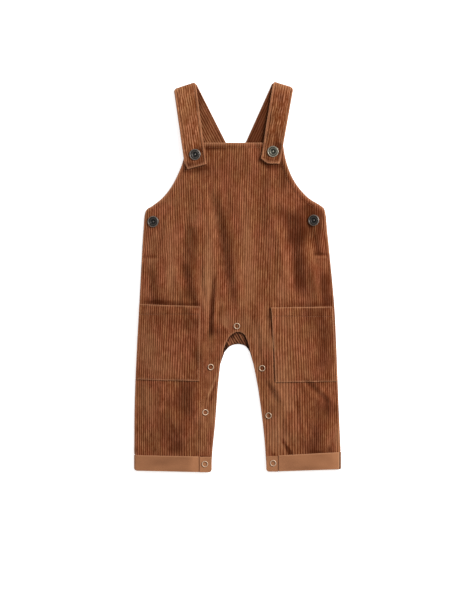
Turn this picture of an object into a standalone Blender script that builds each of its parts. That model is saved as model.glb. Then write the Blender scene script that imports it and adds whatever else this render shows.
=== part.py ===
"""Toddler overalls in wide-wale corduroy, laid flat with the front up.

The back panel rests on the ground, the front panel lies on it, and the pockets, straps,
cuffs, buttons and snaps lie on those. Shapes are worked out in millimetres and stored in
metres: +X to the right as seen from above, +Y to the shoulders, +Z up.
"""
import math
from collections import namedtuple

import bmesh
import bpy
from mathutils import Vector

MM = 0.001

# Cloth
CORD_WALL = 1.6          # corduroy wall under its wales
WALE_PITCH = 3.3
WALE_HEIGHT = 0.6
TWILL_WALL = 1.3
FACING_WALL = 1.2
STRAP_WALL = 2.2         # two layers sewn together
GAP = 0.3                # between pieces that meet
HEM_EXTRA = 0.4          # a turned hem stands this much higher

# Cutting lines across the panels
HALF_WALE = WALE_PITCH / 2
CUT_SNAP = 0.2           # a corner nearer than this to a cut is left where it is
COLUMN_SNAP = 0.03       # an edge this near a column, in half wales, lies on it
ROW_TOP = 168.0
ROW_STEP = 20.0
ROW_COUNT = 21
UNDERSIDE_COLUMNS = 4    # the plain side keeps one column in this many

# Levels
BIB_TOP = 192.7
BIB_HEM = 7.0
BACK_TOP = 172.0
LEG_HEM = -275.5
CUFF_TOP = -252.5        # below this a leg lies level inside its cuff
CUFF_RAMP = 14.0         # length over which a leg rises into its cuff

# How far the front panel stands off the back panel
LOFT = 5.4
LOFT_REACH = 34.0        # distance from an edge at which the loft is full
BIB_FLAT = 148.0         # above this the bib lies flat
BIB_RAMP = 45.0
BIB_SUPPORT = 1.5        # the bib rests on the back ends of the straps
LEG_FLAT_RAMP = 34.0

# Crotch facing
FACING_WIDTH = 22.0
FACING_SPREAD = 1.25     # its top is this much wider than the arch
FACING_CENTRE = (0.0, -98.0)
FACING_SUPPORT = 36.0    # the front is lifted fully this far from the centre
FACING_SUPPORT_END = 78.0
FACING_SLANT = 30.0      # degrees between its wales and the front's

Edge = namedtuple("Edge", "y left right")
Fold = namedtuple("Fold", "x0 y0 x1 y1 bow half_width height")
Spot = namedtuple("Spot", "name x y")
Button = namedtuple("Button", "name x y lean")
Turn = namedtuple("Turn", "reach height")   # a share of the radius, and a height

ARMHOLES = (
    Edge(BIB_TOP, -75.5, 65.0),
    Edge(168.0, -78.0, 69.2),
    Edge(145.2, -86.7, 77.3),
    Edge(127.9, -96.2, 88.0),
    Edge(113.0, -108.4, 102.2),
    Edge(102.0, -122.4, 119.8),
)
SIDES = (
    Edge(93.3, -132.6, 126.0),
    Edge(64.5, -135.6, 129.0),
    Edge(30.0, -137.8, 132.6),
    Edge(-39.2, -141.4, 139.0),
    Edge(-98.2, -144.7, 142.0),
    Edge(-177.4, -148.0, 145.0),
    Edge(-244.0, -148.7, 147.8),
    Edge(CUFF_TOP, -147.2, 147.2),
    Edge(LEG_HEM, -147.2, 147.2),
)
INSEAMS = (
    Edge(-125.6, -24.8, 22.6),
    Edge(-160.1, -28.5, 29.4),
    Edge(-212.0, -32.3, 36.4),
    Edge(-246.5, -35.9, 39.6),
    Edge(LEG_HEM, -37.6, 41.4),
)
FRONT_ARCH = ((-21.3, -108.3), (-17.6, -97.0), (-11.4, -85.4), (-1.0, -79.2),
              (8.8, -82.2), (14.2, -93.0), (17.8, -106.0))
BACK_ARCH = ((-18.7, -108.3), (-10.6, -99.8), (0.7, -96.8), (11.4, -99.9), (17.6, -108.3))
BACK_ARMHOLES = (
    Edge(BACK_TOP, -38.6, 35.2),
    Edge(150.0, -50.0, 46.0),
    Edge(128.0, -68.0, 62.0),
    Edge(108.0, -97.0, 90.0),
    Edge(97.0, -124.0, 118.0),
)

# Folds of the front panel: each is a trough on its left and a ridge on its right, along a line
# that bows to the right at its middle
FOLD_REACH = 2.24        # a fold dies out this many half widths from its line
FOLDS = (
    Fold(-37, 138, -4, -50, 4, 8.5, 3.8),
    Fold(-64, 92, -73, -6, -2, 9.5, 3.4),
    Fold(-75, 22, -58, -48, -1, 7.5, 2.6),
    Fold(-33, 2, -39, -90, 0, 4.0, 3.2),
    Fold(70, 108, 98, -34, 2, 11.0, 5.2),
    Fold(86, 122, 104, 40, 3, 15.0, 3.6),
    Fold(112, 104, 110, 46, 0, 8.0, 2.2),
    Fold(126, 22, 129, -44, 0, 6.5, 2.2),
    Fold(-124, 22, -123, -38, 0, 8.0, 2.0),
    Fold(40, 130, 40, 58, 0, 8.0, 1.6),
    Fold(44, 100, 46, -38, 3, 17.0, 2.2),
    Fold(23, -30, 24, -70, 0, 6.0, 1.0),
    Fold(45, -36, 46, -88, 0, 4.5, 1.6),
    Fold(-64, 144, -66, 86, 0, 7.0, 1.0),
    Fold(-70, -44, -69, -86, 0, 9.0, 1.8),
    Fold(-64, -84, -58, -122, 0, 8.0, 1.2),
    Fold(124, -44, 126, -146, 0, 9.0, 2.3),
    Fold(-76, -146, -70, -212, 0, 11.0, 3.6),
    Fold(-86, -198, -97, -264, 0, 11.0, 3.6),
    Fold(-141, -150, -137, -204, 0, 6.0, 1.4),
    Fold(-30, -146, -43, -192, 0, 3.6, 1.6),
    Fold(40, -146, 61, -184, 2, 6.0, 2.0),
    Fold(66, -198, 72, -234, 0, 6.0, 1.3),
    Fold(64, -230, 77, -262, 0, 3.6, 2.1),
    Fold(96, -144, 134, -182, 0, 6.0, 1.7),
    Fold(131, -166, 133, -208, 0, 7.0, 2.6),
    Fold(112, -210, 117, -264, 0, 9.0, 3.4),
)

Pocket = namedtuple("Pocket", "name outline hem_line")
POCKETS = (
    Pocket("pocket_left",
           ((-141.4, -39.2), (-146.7, -147.3), (-55.0, -149.8), (-53.4, -42.5)), -54.0),
    Pocket("pocket_right",
           ((47.8, -44.2), (51.0, -90.0), (54.4, -151.3), (143.3, -150.3), (136.2, -42.8)), -57.0),
)
POCKET_HEM_STEP = 1.2
POCKET_HEM_EXTRA = 0.8
POCKET_UNDERSIDE_COLUMNS = 2

Strap = namedtuple("Strap", "name width fold_x fold_y front_tilt back_tilt end")
STRAPS = (
    Strap("strap_left", 32.0, -76.7, 274.6, 8.8, 27.6,
          ((-76.5, 163.0), (-71.7, 154.2), (-44.6, 161.4))),
    Strap("strap_right", 30.0, 66.1, 276.2, -9.2, -24.9,
          ((33.4, 169.5), (43.1, 162.3), (60.6, 162.3), (62.4, 171.5))),
)
STRAP_CORNER = 4.4       # radius of the shoulder's corners
STRAP_CORNER_STEPS = 4
STRAP_SPACE = 1.4        # between the two layers of a strap at its turn
STRAP_TURN_CUTS = 5
STRAP_RISE_START = 28.0  # from the turn, along the front end
STRAP_RISE_END = 78.0
STRAP_RISE_CUTS = 5
STRAP_LIFT = 2.6         # the end of a strap stands up from the bib
STRAP_LIFT_LENGTH = 12.0
BIB_SURFACE = 6.3        # height at which a strap's front end lies

CUFF_OUTER = 148.9
CUFF_CORNER = 5.0
CUFF_CHAMFER = 1.2
CUFF_HEIGHT = 7.3
TAB_CORNER = 4.0
TAB_CORNER_STEPS = 4
TAB_DROP = 0.4           # its top lies this much below the band's
Cuff = namedtuple("Cuff", "side inseam placket top_in top_out bottom_in bottom_out")
CUFFS = (
    Cuff("left", -37.2, -55.3, -258.5, -256.2, -281.1, -278.6),
    Cuff("right", 41.2, 58.5, -257.6, -251.8, -280.2, -276.6),
)

BUTTONS = (              # lean: degrees by which a button tips to the left on its shank
    Button("button_strap_left", -61.2, 175.2, 0),
    Button("button_strap_right", 50.7, 179.6, 0),
    Button("button_side_left", -121.1, 79.1, 0),
    Button("button_side_right", 109.2, 80.8, 20),
)
BUTTON_RADIUS = 8.1
BUTTON_STEPS = 20
BUTTON_PROFILE = (       # a raised rim, a ring-shaped hollow and a low dome
    Turn(0, 0), Turn(0.92, 0), Turn(1, 0.8), Turn(0.97, 1.7), Turn(0.86, 2.2),
    Turn(0.70, 1.7), Turn(0.60, 1.3), Turn(0.36, 1.5), Turn(0, 2.1),
)
SEAT_POINTS = 24         # points tested under the rim of a button or a snap
SNAPS = (
    Spot("snap_crotch", -1.0, -70.6),
    Spot("snap_left_upper", -38.6, -129.5),
    Spot("snap_left_lower", -46.5, -194.5),
    Spot("snap_left_cuff", -47.0, -268.8),
    Spot("snap_right_upper", 35.3, -131.2),
    Spot("snap_right_lower", 44.6, -199.3),
    Spot("snap_right_cuff", 51.0, -267.6),
)
SNAP_OUTER = 4.7
SNAP_INNER = 3.0
SNAP_HEIGHT = 1.3
SNAP_STEPS = 16

SHARP_ANGLE = math.radians(35)
COLOURS = {              # base colour, roughness, metallic
    "corduroy": ((0.202, 0.070, 0.030), 0.92, 0.0),
    "strap corduroy": ((0.245, 0.095, 0.044), 0.92, 0.0),
    "facing corduroy": ((0.120, 0.045, 0.022), 0.94, 0.0),
    "twill": ((0.340, 0.150, 0.068), 0.88, 0.0),
    "button metal": ((0.205, 0.170, 0.145), 0.38, 0.9),
    "snap metal": ((0.640, 0.570, 0.500), 0.32, 0.9),
}


def smooth(t):
    """0 below 0, 1 above 1, and an even rise between."""
    t = min(max(t, 0.0), 1.0)
    return t * t * (3 - 2 * t)


def curve(points, steps):
    """A smooth line through the points, each stretch in the given number of steps."""
    ends = [points[0], *points, points[-1]]
    line = []
    for a, b, c, d in zip(ends, ends[1:], ends[2:], ends[3:]):
        for i in range(steps):
            t = i / steps
            line.append(tuple(
                0.5 * (2 * q + (r - p) * t + (2 * p - 5 * q + 4 * r - s) * t ** 2
                       + (3 * q - p - 3 * r + s) * t ** 3)
                for p, q, r, s in zip(a, b, c, d)))
    return line + [tuple(points[-1])]


def panel_outline(armholes, arch, steps):
    """Down the left side, round both hems and the crotch, and up the right side."""
    left = curve([(row.left, row.y) for row in armholes], steps)
    left += [(row.left, row.y) for row in SIDES]
    right = curve([(row.right, row.y) for row in armholes], steps)
    right += [(row.right, row.y) for row in SIDES]
    inner_left = [(row.left, row.y) for row in INSEAMS]
    inner_right = [(row.right, row.y) for row in INSEAMS]
    return left + inner_left[::-1] + curve(arch, 2) + inner_right + right[::-1]


FRONT_OUTLINE = panel_outline(ARMHOLES, FRONT_ARCH, 2)
BACK_OUTLINE = panel_outline(BACK_ARMHOLES, BACK_ARCH, 2)
CUFF_ROWS = [CUFF_TOP + CUFF_RAMP, CUFF_TOP]
ROWS = [BIB_TOP - BIB_HEM] + [ROW_TOP - i * ROW_STEP for i in range(ROW_COUNT)] + CUFF_ROWS


def edge_distance(x, y):
    """How far inside the front panel's outline a point lies, 0 outside it."""
    inside = False
    nearest = math.inf
    for (ax, ay), (bx, by) in zip(FRONT_OUTLINE, FRONT_OUTLINE[1:] + FRONT_OUTLINE[:1]):
        if (ay > y) != (by > y) and x < ax + (y - ay) * (bx - ax) / (by - ay):
            inside = not inside
        length = (bx - ax) ** 2 + (by - ay) ** 2
        t = min(max(((x - ax) * (bx - ax) + (y - ay) * (by - ay)) / length, 0.0), 1.0)
        nearest = min(nearest, math.hypot(x - ax - t * (bx - ax), y - ay - t * (by - ay)))
    return nearest if inside else 0.0


def fold_height(x, y):
    """The sum of the folds at a point: each is highest and lowest a half width off its line."""
    total = 0.0
    for fold in FOLDS:
        t = (fold.y0 - y) / (fold.y0 - fold.y1)
        if 0 < t < 1:
            line = fold.x0 + (fold.x1 - fold.x0) * t + fold.bow * 4 * t * (1 - t)
            across = (x - line) / fold.half_width
            wave = across * max(0.0, 1 - (across / FOLD_REACH) ** 2) ** 2
            peak = (1 - 1 / FOLD_REACH ** 2) ** 2
            total += fold.height * wave / peak * (1 - (2 * t - 1) ** 4)
    return total


def cuff_rise(y):
    """How far a leg is lifted off the ground by the cuff that wraps it."""
    return (TWILL_WALL + GAP) * min(max((CUFF_TOP + CUFF_RAMP - y) / CUFF_RAMP, 0.0), 1.0)


def support(x, y):
    """The level that the front panel's underside rests on."""
    cx, cy = FACING_CENTRE
    fade = (FACING_SUPPORT_END - math.hypot(x - cx, y - cy)) / (FACING_SUPPORT_END - FACING_SUPPORT)
    level = CORD_WALL + GAP + cuff_rise(y)
    level += BIB_SUPPORT * smooth((y - BIB_FLAT + BIB_RAMP) / BIB_RAMP)
    return level + (FACING_WALL + WALE_HEIGHT + GAP) * smooth(fade)


def drape(x, y):
    """The front panel's underside where it isn't yet cut into rows."""
    roll = smooth(edge_distance(x, y) / LOFT_REACH)
    flat = smooth((BIB_FLAT - y) / BIB_RAMP) * smooth((y - CUFF_TOP) / LEG_FLAT_RAMP)
    return support(x, y) + max(0.0, LOFT * roll + fold_height(x, y) * min(1.0, 2 * roll)) * flat


def front_under(x, y):
    """The front panel's underside, straight from one row to the next."""
    above = min([row for row in ROWS if row >= y], default=BIB_TOP)
    below = max([row for row in ROWS if row < y], default=LEG_HEM)
    t = (y - below) / (above - below) if above > below else 0.0
    return drape(x, below) * (1 - t) + drape(x, above) * t


def front_over(x, y):
    """The crests of the front panel's wales."""
    hem = HEM_EXTRA if y > BIB_TOP - BIB_HEM else 0.0
    return front_under(x, y) + CORD_WALL + WALE_HEIGHT + hem


def wale(x):
    """Height of the corduroy's wales, with a crest at every whole pitch."""
    place = x / WALE_PITCH
    return WALE_HEIGHT * abs(2 * (place - math.floor(place)) - 1)


def steps_between(low, high, step):
    """Multiples of the step that lie between two values."""
    return [i * step for i in range(math.ceil(low / step), math.floor(high / step) + 1)]


def flat_piece(outline):
    """One flat face with the given outline."""
    bm = bmesh.new()
    bm.faces.new([bm.verts.new((x, y, 0)) for x, y in outline])
    return bm


def cut(bm, point, normal):
    """Cuts every face along a plane."""
    bmesh.ops.bisect_plane(bm, geom=bm.verts[:] + bm.edges[:] + bm.faces[:], dist=CUT_SNAP,
                           plane_co=(*point, 0), plane_no=(*normal, 0))


def cut_wales(bm, outline):
    """Cuts a flat piece along the crest and the trough of each wale."""
    xs = [x for x, _ in outline]
    for x in steps_between(min(xs), max(xs), HALF_WALE):
        cut(bm, (x, 0), (1, 0))


def cut_rows(bm, outline, rows):
    """Cuts a flat piece across its wales."""
    ys = [y for _, y in outline]
    for y in rows:
        if min(ys) < y < max(ys):
            cut(bm, (0, y), (0, 1))


def thicken(bm, under, over, columns=1):
    """Makes a flat piece a closed wall between two heights; its plain underside keeps one
    column in the given number."""
    lower = bm.verts[:]
    bottom = set(bm.faces)
    geometry = bmesh.ops.extrude_face_region(bm, geom=bm.faces[:])["geom"]
    for vert in geometry:
        if isinstance(vert, bmesh.types.BMVert):
            vert.co.z = over(vert.co.x, vert.co.y)
    spare = []
    for edge in bm.edges:
        a, b = (vert.co.x / HALF_WALE for vert in edge.verts)
        on_column = abs(a - b) < COLUMN_SNAP and abs(a - round(a)) < COLUMN_SNAP
        if on_column and round(a) % columns and all(face in bottom for face in edge.link_faces):
            spare.append(edge)
    bmesh.ops.dissolve_edges(bm, edges=spare, use_verts=True)
    for vert in lower:
        if vert.is_valid:
            vert.co.z = under(vert.co.x, vert.co.y)


def finish(bm, name, colour, location=(0, 0, 0), tilt=(0, 0)):
    """Stores a closed shape as a named object with its own material."""
    bmesh.ops.triangulate(bm, faces=bm.faces[:])
    bmesh.ops.recalc_face_normals(bm, faces=bm.faces[:])
    bmesh.ops.scale(bm, vec=(MM, MM, MM), verts=bm.verts[:])
    mesh = bpy.data.meshes.new(name)
    bm.to_mesh(mesh)
    bm.free()
    mesh.shade_smooth()
    mesh.set_sharp_from_angle(angle=SHARP_ANGLE)
    base, roughness, metallic = COLOURS[colour]
    material = bpy.data.materials.new(name)
    material.use_nodes = True
    shader = material.node_tree.nodes["Principled BSDF"]
    shader.inputs["Base Color"].default_value = (*base, 1)
    shader.inputs["Roughness"].default_value = roughness
    shader.inputs["Metallic"].default_value = metallic
    mesh.materials.append(material)
    piece = bpy.data.objects.new(name, mesh)
    piece.location = [value * MM for value in location]
    piece.rotation_euler = (*tilt, 0)
    bpy.context.scene.collection.objects.link(piece)
    return piece


def front_panel():
    """Bib, body and both legs in one piece, its wales up and its folds pressed in."""
    bm = flat_piece(FRONT_OUTLINE)
    cut_rows(bm, FRONT_OUTLINE, ROWS)
    cut_wales(bm, FRONT_OUTLINE)
    thicken(bm, front_under, lambda x, y: front_over(x, y) - WALE_HEIGHT + wale(x),
            UNDERSIDE_COLUMNS)
    return finish(bm, "front_panel", "corduroy")


def back_panel():
    """The back rests flat on the ground and rises into the cuffs."""
    bm = flat_piece(BACK_OUTLINE)
    cut_rows(bm, BACK_OUTLINE, ROWS[1:-2:2] + CUFF_ROWS)
    thicken(bm, lambda x, y: cuff_rise(y), lambda x, y: cuff_rise(y) + CORD_WALL)
    return finish(bm, "back_panel", "corduroy")


def crotch_facing():
    """A bias strip that lies on the back crotch, its wales slanting."""
    arch = curve(BACK_ARCH, 2)
    top = [(x * FACING_SPREAD, y + FACING_WIDTH) for x, y in arch]
    outline = [(x, y + GAP) for x, y in arch] + top[::-1]
    bm = flat_piece(outline)
    slant = Vector((math.cos(math.radians(FACING_SLANT)), math.sin(math.radians(FACING_SLANT))))
    reaches = [Vector(point).dot(slant) for point in outline]
    for reach in steps_between(min(reaches), max(reaches), HALF_WALE):
        cut(bm, slant * reach, slant)
    level = CORD_WALL + GAP
    thicken(bm, lambda x, y: level,
            lambda x, y: level + FACING_WALL + wale(Vector((x, y)).dot(slant)))
    return finish(bm, "back_crotch_facing", "facing corduroy")


def pocket(spec):
    """A patch that follows the front panel, with a turned hem along its top."""
    bm = flat_piece(spec.outline)
    cut_rows(bm, spec.outline, ROWS + [spec.hem_line, spec.hem_line + POCKET_HEM_STEP])
    cut_wales(bm, spec.outline)

    def under(x, y):
        return front_over(x, y) + GAP

    def over(x, y):
        hem = POCKET_HEM_EXTRA if y > spec.hem_line + POCKET_HEM_STEP / 2 else 0.0
        return under(x, y) + CORD_WALL + wale(x) + hem

    thicken(bm, under, over, POCKET_UNDERSIDE_COLUMNS)
    return finish(bm, spec.name, "corduroy")


def strap(spec):
    """A band that is turned over at the shoulder: its back end meets the back panel's top
    and its front end lies on the bib. It is cut out straight, then folded."""
    radius = (STRAP_WALL + STRAP_SPACE) / 2
    outside = radius + STRAP_WALL / 2
    turn = math.pi * radius
    down = Vector((math.sin(math.radians(spec.front_tilt)),
                   -math.cos(math.radians(spec.front_tilt))))
    back_down = Vector((math.sin(math.radians(spec.back_tilt)),
                        -math.cos(math.radians(spec.back_tilt))))
    normal = (down + back_down).normalized()
    side = Vector((-down.y, down.x))
    axis = Vector((spec.fold_x, spec.fold_y)) + normal * outside

    def unfolded(point):
        offset = (point - axis).dot(normal)
        return point - normal * (2 * offset + turn)

    def turn_edge(sign):
        return axis + side * sign * spec.width / 2 / side.dot(Vector((-normal.y, normal.x)))

    def back_corner(sign):
        edge = turn_edge(sign)
        reach = (edge.y - BACK_TOP - GAP) / -back_down.y
        return unfolded(edge + back_down * reach)

    def shoulder(sign):
        """One side of the band past its turn, drawn in there so that the corner is round."""
        points = []
        for i in range(-STRAP_CORNER_STEPS, STRAP_CORNER_STEPS + 1):
            angle = math.pi / 2 * i / STRAP_CORNER_STEPS
            depth = STRAP_CORNER * (1 - math.cos(angle))
            reach = depth - outside if depth > outside else -radius * math.asin(1 - depth / outside)
            if i > 0:
                reach = -turn - reach
            edge = turn_edge(sign)
            point = edge + down * (reach - (edge - axis).dot(normal)) / down.dot(normal)
            points.append(point - side * sign * STRAP_CORNER * (1 - math.sin(abs(angle))))
        return points

    outline = [Vector(point) for point in spec.end]
    outline += shoulder(1) + [back_corner(1), back_corner(-1)] + shoulder(-1)[::-1]
    bm = flat_piece(outline)
    across = [point.dot(side) for point in outline]
    middle = (back_corner(1) + back_corner(-1)).dot(side) / 2
    for reach in steps_between(min(across) - middle, max(across) - middle, HALF_WALE):
        cut(bm, side * (reach + middle), side)
    rise_length = STRAP_RISE_END - STRAP_RISE_START
    turns = [-turn * i / STRAP_TURN_CUTS for i in range(STRAP_TURN_CUTS + 1)]
    rises = [STRAP_RISE_START + rise_length * i / STRAP_RISE_CUTS
             for i in range(1, STRAP_RISE_CUTS + 1)]
    end = max((point - axis).dot(normal) for point in outline)
    lifts = [end - STRAP_LIFT_LENGTH, end - STRAP_LIFT_LENGTH / 2]
    for reach in turns + rises + lifts:
        cut(bm, axis + normal * reach, normal)

    def folded(x, y, upper):
        flat = Vector((x, y))
        reach = (flat - axis).dot(normal)
        line = flat - normal * reach
        rib = wale(flat.dot(side) - middle)
        on_front = reach > -turn / 2
        wall = STRAP_WALL / 2 + (rib if upper == on_front else 0.0)
        wall = wall if upper else -wall
        if reach > 0:
            bend, push = 0.0, reach
        elif reach > -turn:
            bend, push = -reach / radius, 0.0
        else:
            bend, push = math.pi, -reach - turn
        place = line + normal * (push - (radius + wall) * math.sin(bend))
        level = STRAP_WALL / 2 + radius + (radius + wall) * math.cos(bend)
        level += ((BIB_SURFACE - STRAP_WALL - STRAP_SPACE)
                  * smooth((reach - STRAP_RISE_START) / rise_length))
        return (*place, level + STRAP_LIFT * smooth((reach - lifts[0]) / STRAP_LIFT_LENGTH))

    inner = bm.verts[:]
    geometry = bmesh.ops.extrude_face_region(bm, geom=bm.faces[:])["geom"]
    for vert in geometry:
        if isinstance(vert, bmesh.types.BMVert):
            vert.co = folded(vert.co.x, vert.co.y, True)
    for vert in inner:
        vert.co = folded(vert.co.x, vert.co.y, False)
    return finish(bm, spec.name, "strap corduroy")


def cuff_edges(spec, x):
    """The top and bottom of a cuff at a distance from the centre line."""
    t = (abs(x) - abs(spec.inseam)) / (CUFF_OUTER - abs(spec.inseam))
    top = spec.top_in + (spec.top_out - spec.top_in) * t
    bottom = spec.bottom_in + (spec.bottom_out - spec.bottom_in) * t
    short = max(0.0, CUFF_CORNER - (CUFF_OUTER - abs(x)))
    return top, bottom + CUFF_CORNER - math.sqrt(CUFF_CORNER ** 2 - short ** 2)


def cuff(spec):
    """A band that wraps the leg's hem: under the back, round the side and over the front."""
    sign = math.copysign(1, spec.inseam)
    outer, bevel, high = CUFF_OUTER, CUFF_CHAMFER, CUFF_HEIGHT
    section = [
        (abs(spec.inseam), 0), (outer - CUFF_CORNER, 0), (outer - bevel, 0), (outer, bevel),
        (outer, high - bevel), (outer - bevel, high), (outer - CUFF_CORNER, high),
        (abs(spec.placket), high), (abs(spec.placket), high - TWILL_WALL),
        (outer - TWILL_WALL, high - TWILL_WALL), (outer - TWILL_WALL, TWILL_WALL),
        (abs(spec.inseam), TWILL_WALL),
    ]
    bm = bmesh.new()
    face = bm.faces.new([bm.verts.new((sign * x, 0, z)) for x, z in section])
    far = bmesh.ops.extrude_face_region(bm, geom=[face])["geom"]
    far = {vert for vert in far if isinstance(vert, bmesh.types.BMVert)}
    for vert in bm.verts:
        top, bottom = cuff_edges(spec, vert.co.x)
        vert.co.y = top if vert in far else bottom
    return finish(bm, "cuff_" + spec.side, "twill")


def cuff_tab(spec):
    """The end of the placket, beside the cuff's band and level with it."""
    near = abs(spec.inseam)
    far = abs(spec.placket) - GAP
    sign = math.copysign(1, spec.inseam)
    top, bottom = cuff_edges(spec, near)
    outline = [(sign * far, bottom), (sign * far, top - TAB_DROP), (sign * near, top - TAB_DROP)]
    for i in range(TAB_CORNER_STEPS + 1):
        turn = math.pi / 2 * i / TAB_CORNER_STEPS
        outline.append((sign * (near + TAB_CORNER * (1 - math.cos(turn))),
                        bottom + TAB_CORNER * (1 - math.sin(turn))))
    bm = flat_piece(outline)
    thicken(bm, lambda x, y: CUFF_HEIGHT - TWILL_WALL, lambda x, y: CUFF_HEIGHT)
    return finish(bm, "cuff_tab_" + spec.side, "twill")


def turned(profile, steps):
    """A round shape turned from a line of radii and heights."""
    bm = bmesh.new()
    verts = [bm.verts.new((radius, 0, height)) for radius, height in profile]
    edges = [bm.edges.new(pair) for pair in zip(verts, verts[1:])]
    bmesh.ops.spin(bm, geom=verts + edges, cent=(0, 0, 0), axis=(0, 0, 1),
                   angle=2 * math.pi, steps=steps, use_merge=True)
    bmesh.ops.remove_doubles(bm, verts=bm.verts[:], dist=0.001)
    return bm


def seat(surface, x, y, reach, lean=0):
    """Where a round piece of a given radius lies on a surface: its height and its tilt."""
    slope_x = (surface(x + reach, y) - surface(x - reach, y)) / (2 * reach)
    slope_x += math.tan(math.radians(lean))
    slope_y = (surface(x, y + reach) - surface(x, y - reach)) / (2 * reach)
    level = surface(x, y)
    for i in range(SEAT_POINTS):
        dx = reach * math.cos(math.tau * i / SEAT_POINTS)
        dy = reach * math.sin(math.tau * i / SEAT_POINTS)
        level = max(level, surface(x + dx, y + dy) - slope_x * dx - slope_y * dy)
    return level + GAP, (math.atan(slope_y), -math.atan(slope_x))


def strap_surface(x, y):
    """The crests of a strap's wales where it lies on the bib."""
    return BIB_SURFACE + STRAP_WALL + WALE_HEIGHT


def cuff_surface(x, y):
    """The top of the cuffs and their tabs."""
    return CUFF_HEIGHT


def button(spot):
    """A tack button, seen on its face."""
    profile = [(point.reach * BUTTON_RADIUS, point.height) for point in BUTTON_PROFILE]
    surface = strap_surface if "strap" in spot.name else front_over
    level, tilt = seat(surface, spot.x, spot.y, BUTTON_RADIUS, spot.lean)
    return finish(turned(profile, BUTTON_STEPS), spot.name, "button metal",
                  (spot.x, spot.y, level), tilt)


def snap(spot):
    """The open ring of a snap fastener."""
    mid = (SNAP_OUTER + SNAP_INNER) / 2
    profile = [(SNAP_INNER, 0), (SNAP_OUTER, 0), (SNAP_OUTER, SNAP_HEIGHT * 0.5),
               (mid, SNAP_HEIGHT), (SNAP_INNER, SNAP_HEIGHT * 0.5), (SNAP_INNER, 0)]
    surface = cuff_surface if "cuff" in spot.name else front_over
    level, tilt = seat(surface, spot.x, spot.y, SNAP_OUTER)
    return finish(turned(profile, SNAP_STEPS), spot.name, "snap metal",
                  (spot.x, spot.y, level), tilt)


def centre(pieces):
    """Hangs every piece on an empty and puts the middle of their common box over the origin."""
    bpy.context.view_layer.update()
    corners = [piece.matrix_world @ vert.co for piece in pieces for vert in piece.data.vertices]
    xs = [corner.x for corner in corners]
    ys = [corner.y for corner in corners]
    garment = bpy.data.objects.new("overalls", None)
    garment.location = (-(min(xs) + max(xs)) / 2, -(min(ys) + max(ys)) / 2, 0)
    bpy.context.scene.collection.objects.link(garment)
    for piece in pieces:
        piece.parent = garment
    bpy.context.view_layer.update()


def main():
    for item in list(bpy.data.objects):
        bpy.data.objects.remove(item, do_unlink=True)
    pieces = [front_panel(), back_panel(), crotch_facing()]
    pieces += [pocket(spec) for spec in POCKETS]
    pieces += [strap(spec) for spec in STRAPS]
    for spec in CUFFS:
        pieces += [cuff(spec), cuff_tab(spec)]
    pieces += [button(spot) for spot in BUTTONS]
    pieces += [snap(spot) for spot in SNAPS]
    centre(pieces)


main()
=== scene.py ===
import math
from collections import namedtuple

import bmesh
import bpy
import numpy as np
from mathutils import Euler, Matrix, Vector


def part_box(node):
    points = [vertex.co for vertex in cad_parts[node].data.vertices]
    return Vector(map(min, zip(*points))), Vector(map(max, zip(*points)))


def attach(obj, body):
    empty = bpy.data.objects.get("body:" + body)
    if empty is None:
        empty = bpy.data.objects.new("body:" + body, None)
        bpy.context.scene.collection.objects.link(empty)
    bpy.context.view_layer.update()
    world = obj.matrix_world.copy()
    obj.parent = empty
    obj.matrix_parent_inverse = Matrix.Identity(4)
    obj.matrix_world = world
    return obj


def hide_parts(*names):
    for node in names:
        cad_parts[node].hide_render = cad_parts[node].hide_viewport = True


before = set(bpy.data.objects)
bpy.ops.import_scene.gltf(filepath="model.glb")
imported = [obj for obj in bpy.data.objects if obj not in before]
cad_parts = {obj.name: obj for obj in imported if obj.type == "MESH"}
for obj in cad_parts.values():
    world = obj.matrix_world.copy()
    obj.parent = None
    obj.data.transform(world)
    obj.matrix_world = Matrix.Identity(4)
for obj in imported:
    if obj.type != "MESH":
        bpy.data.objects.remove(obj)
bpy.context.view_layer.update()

# Lengths are in millimetres, in the garment's own frame: x to the right, y to the shoulders
mm = 0.001

cord = {
    "wall": 1.6,           # under the wales
    "pitch": 3.3,
    "waleHeight": 0.6,
    "grooveExtra": 0.2,    # a groove is worn this much deeper
    "roundness": 2.2,      # higher makes the wales' tops flatter
    "columns": 8,          # mesh columns for each wale
    "lumps": 0.32,         # how much the pile is crushed, in lumps of this size
    "lumpSize": (2.9, 6.5),
    "pressed": 0.6,        # share of a groove that a seam takes away
    "seamDepth": 0.4,
    "faded": 0.96,         # share of a crest's light left where the garment is worn most
    "plain": 0.4,          # light of the side without wales
    "gap": 0.3,            # between pieces that meet
    "edgeRound": 0.9,      # width and drop of a soft cut edge
    "edgeDrop": 0.5,
}

panel = {
    "bibTop": 192.7, "bibHem": 7.0, "backTop": 172.0,
    "cuffTop": -252.5, "cuffRamp": 14.0,
    "loft": 5.4, "loftReach": 34.0, "bibFlat": 148.0, "bibRamp": 45.0, "bibSupport": 1.5,
    "legFlatRamp": 34.0, "hemExtra": 0.4, "hemStep": 1.2, "seamWidth": 1.5,
    "rowStep": 3.6, "backRowStep": 8.0,
    "armholeStitch": 7.0, "armholeSeam": 1.6, "armholeRise": 0.25,
    "armholeRoll": 0.9, "rollFrom": 16.0, "rollWidth": 12.0,       # beside the right armhole
    "placketRise": 0.35, "placketPress": 0.7,
    "mouthDent": 0.8, "mouthBeside": 2.2, "mouthWidth": 2.8,
    "waist": 90.0, "fadeRamp": 50.0, "wornAndLitWidth": 3.4, "wornAndLitBib": 0.9, "wornAndLitLegs": 0.6,
}
hemY = panel["bibTop"] - panel["bibHem"]      # the bib's hem is stitched here

cuffCloth = {"wall": 1.3, "height": 7.3, "outer": 148.9, "innerCorner": 4.2, "tabDrop": 0.4,
             "edge": 0.4, "rows": 9, "rim": 0.25, "cell": 3.0, "seam": 1.3}

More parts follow.
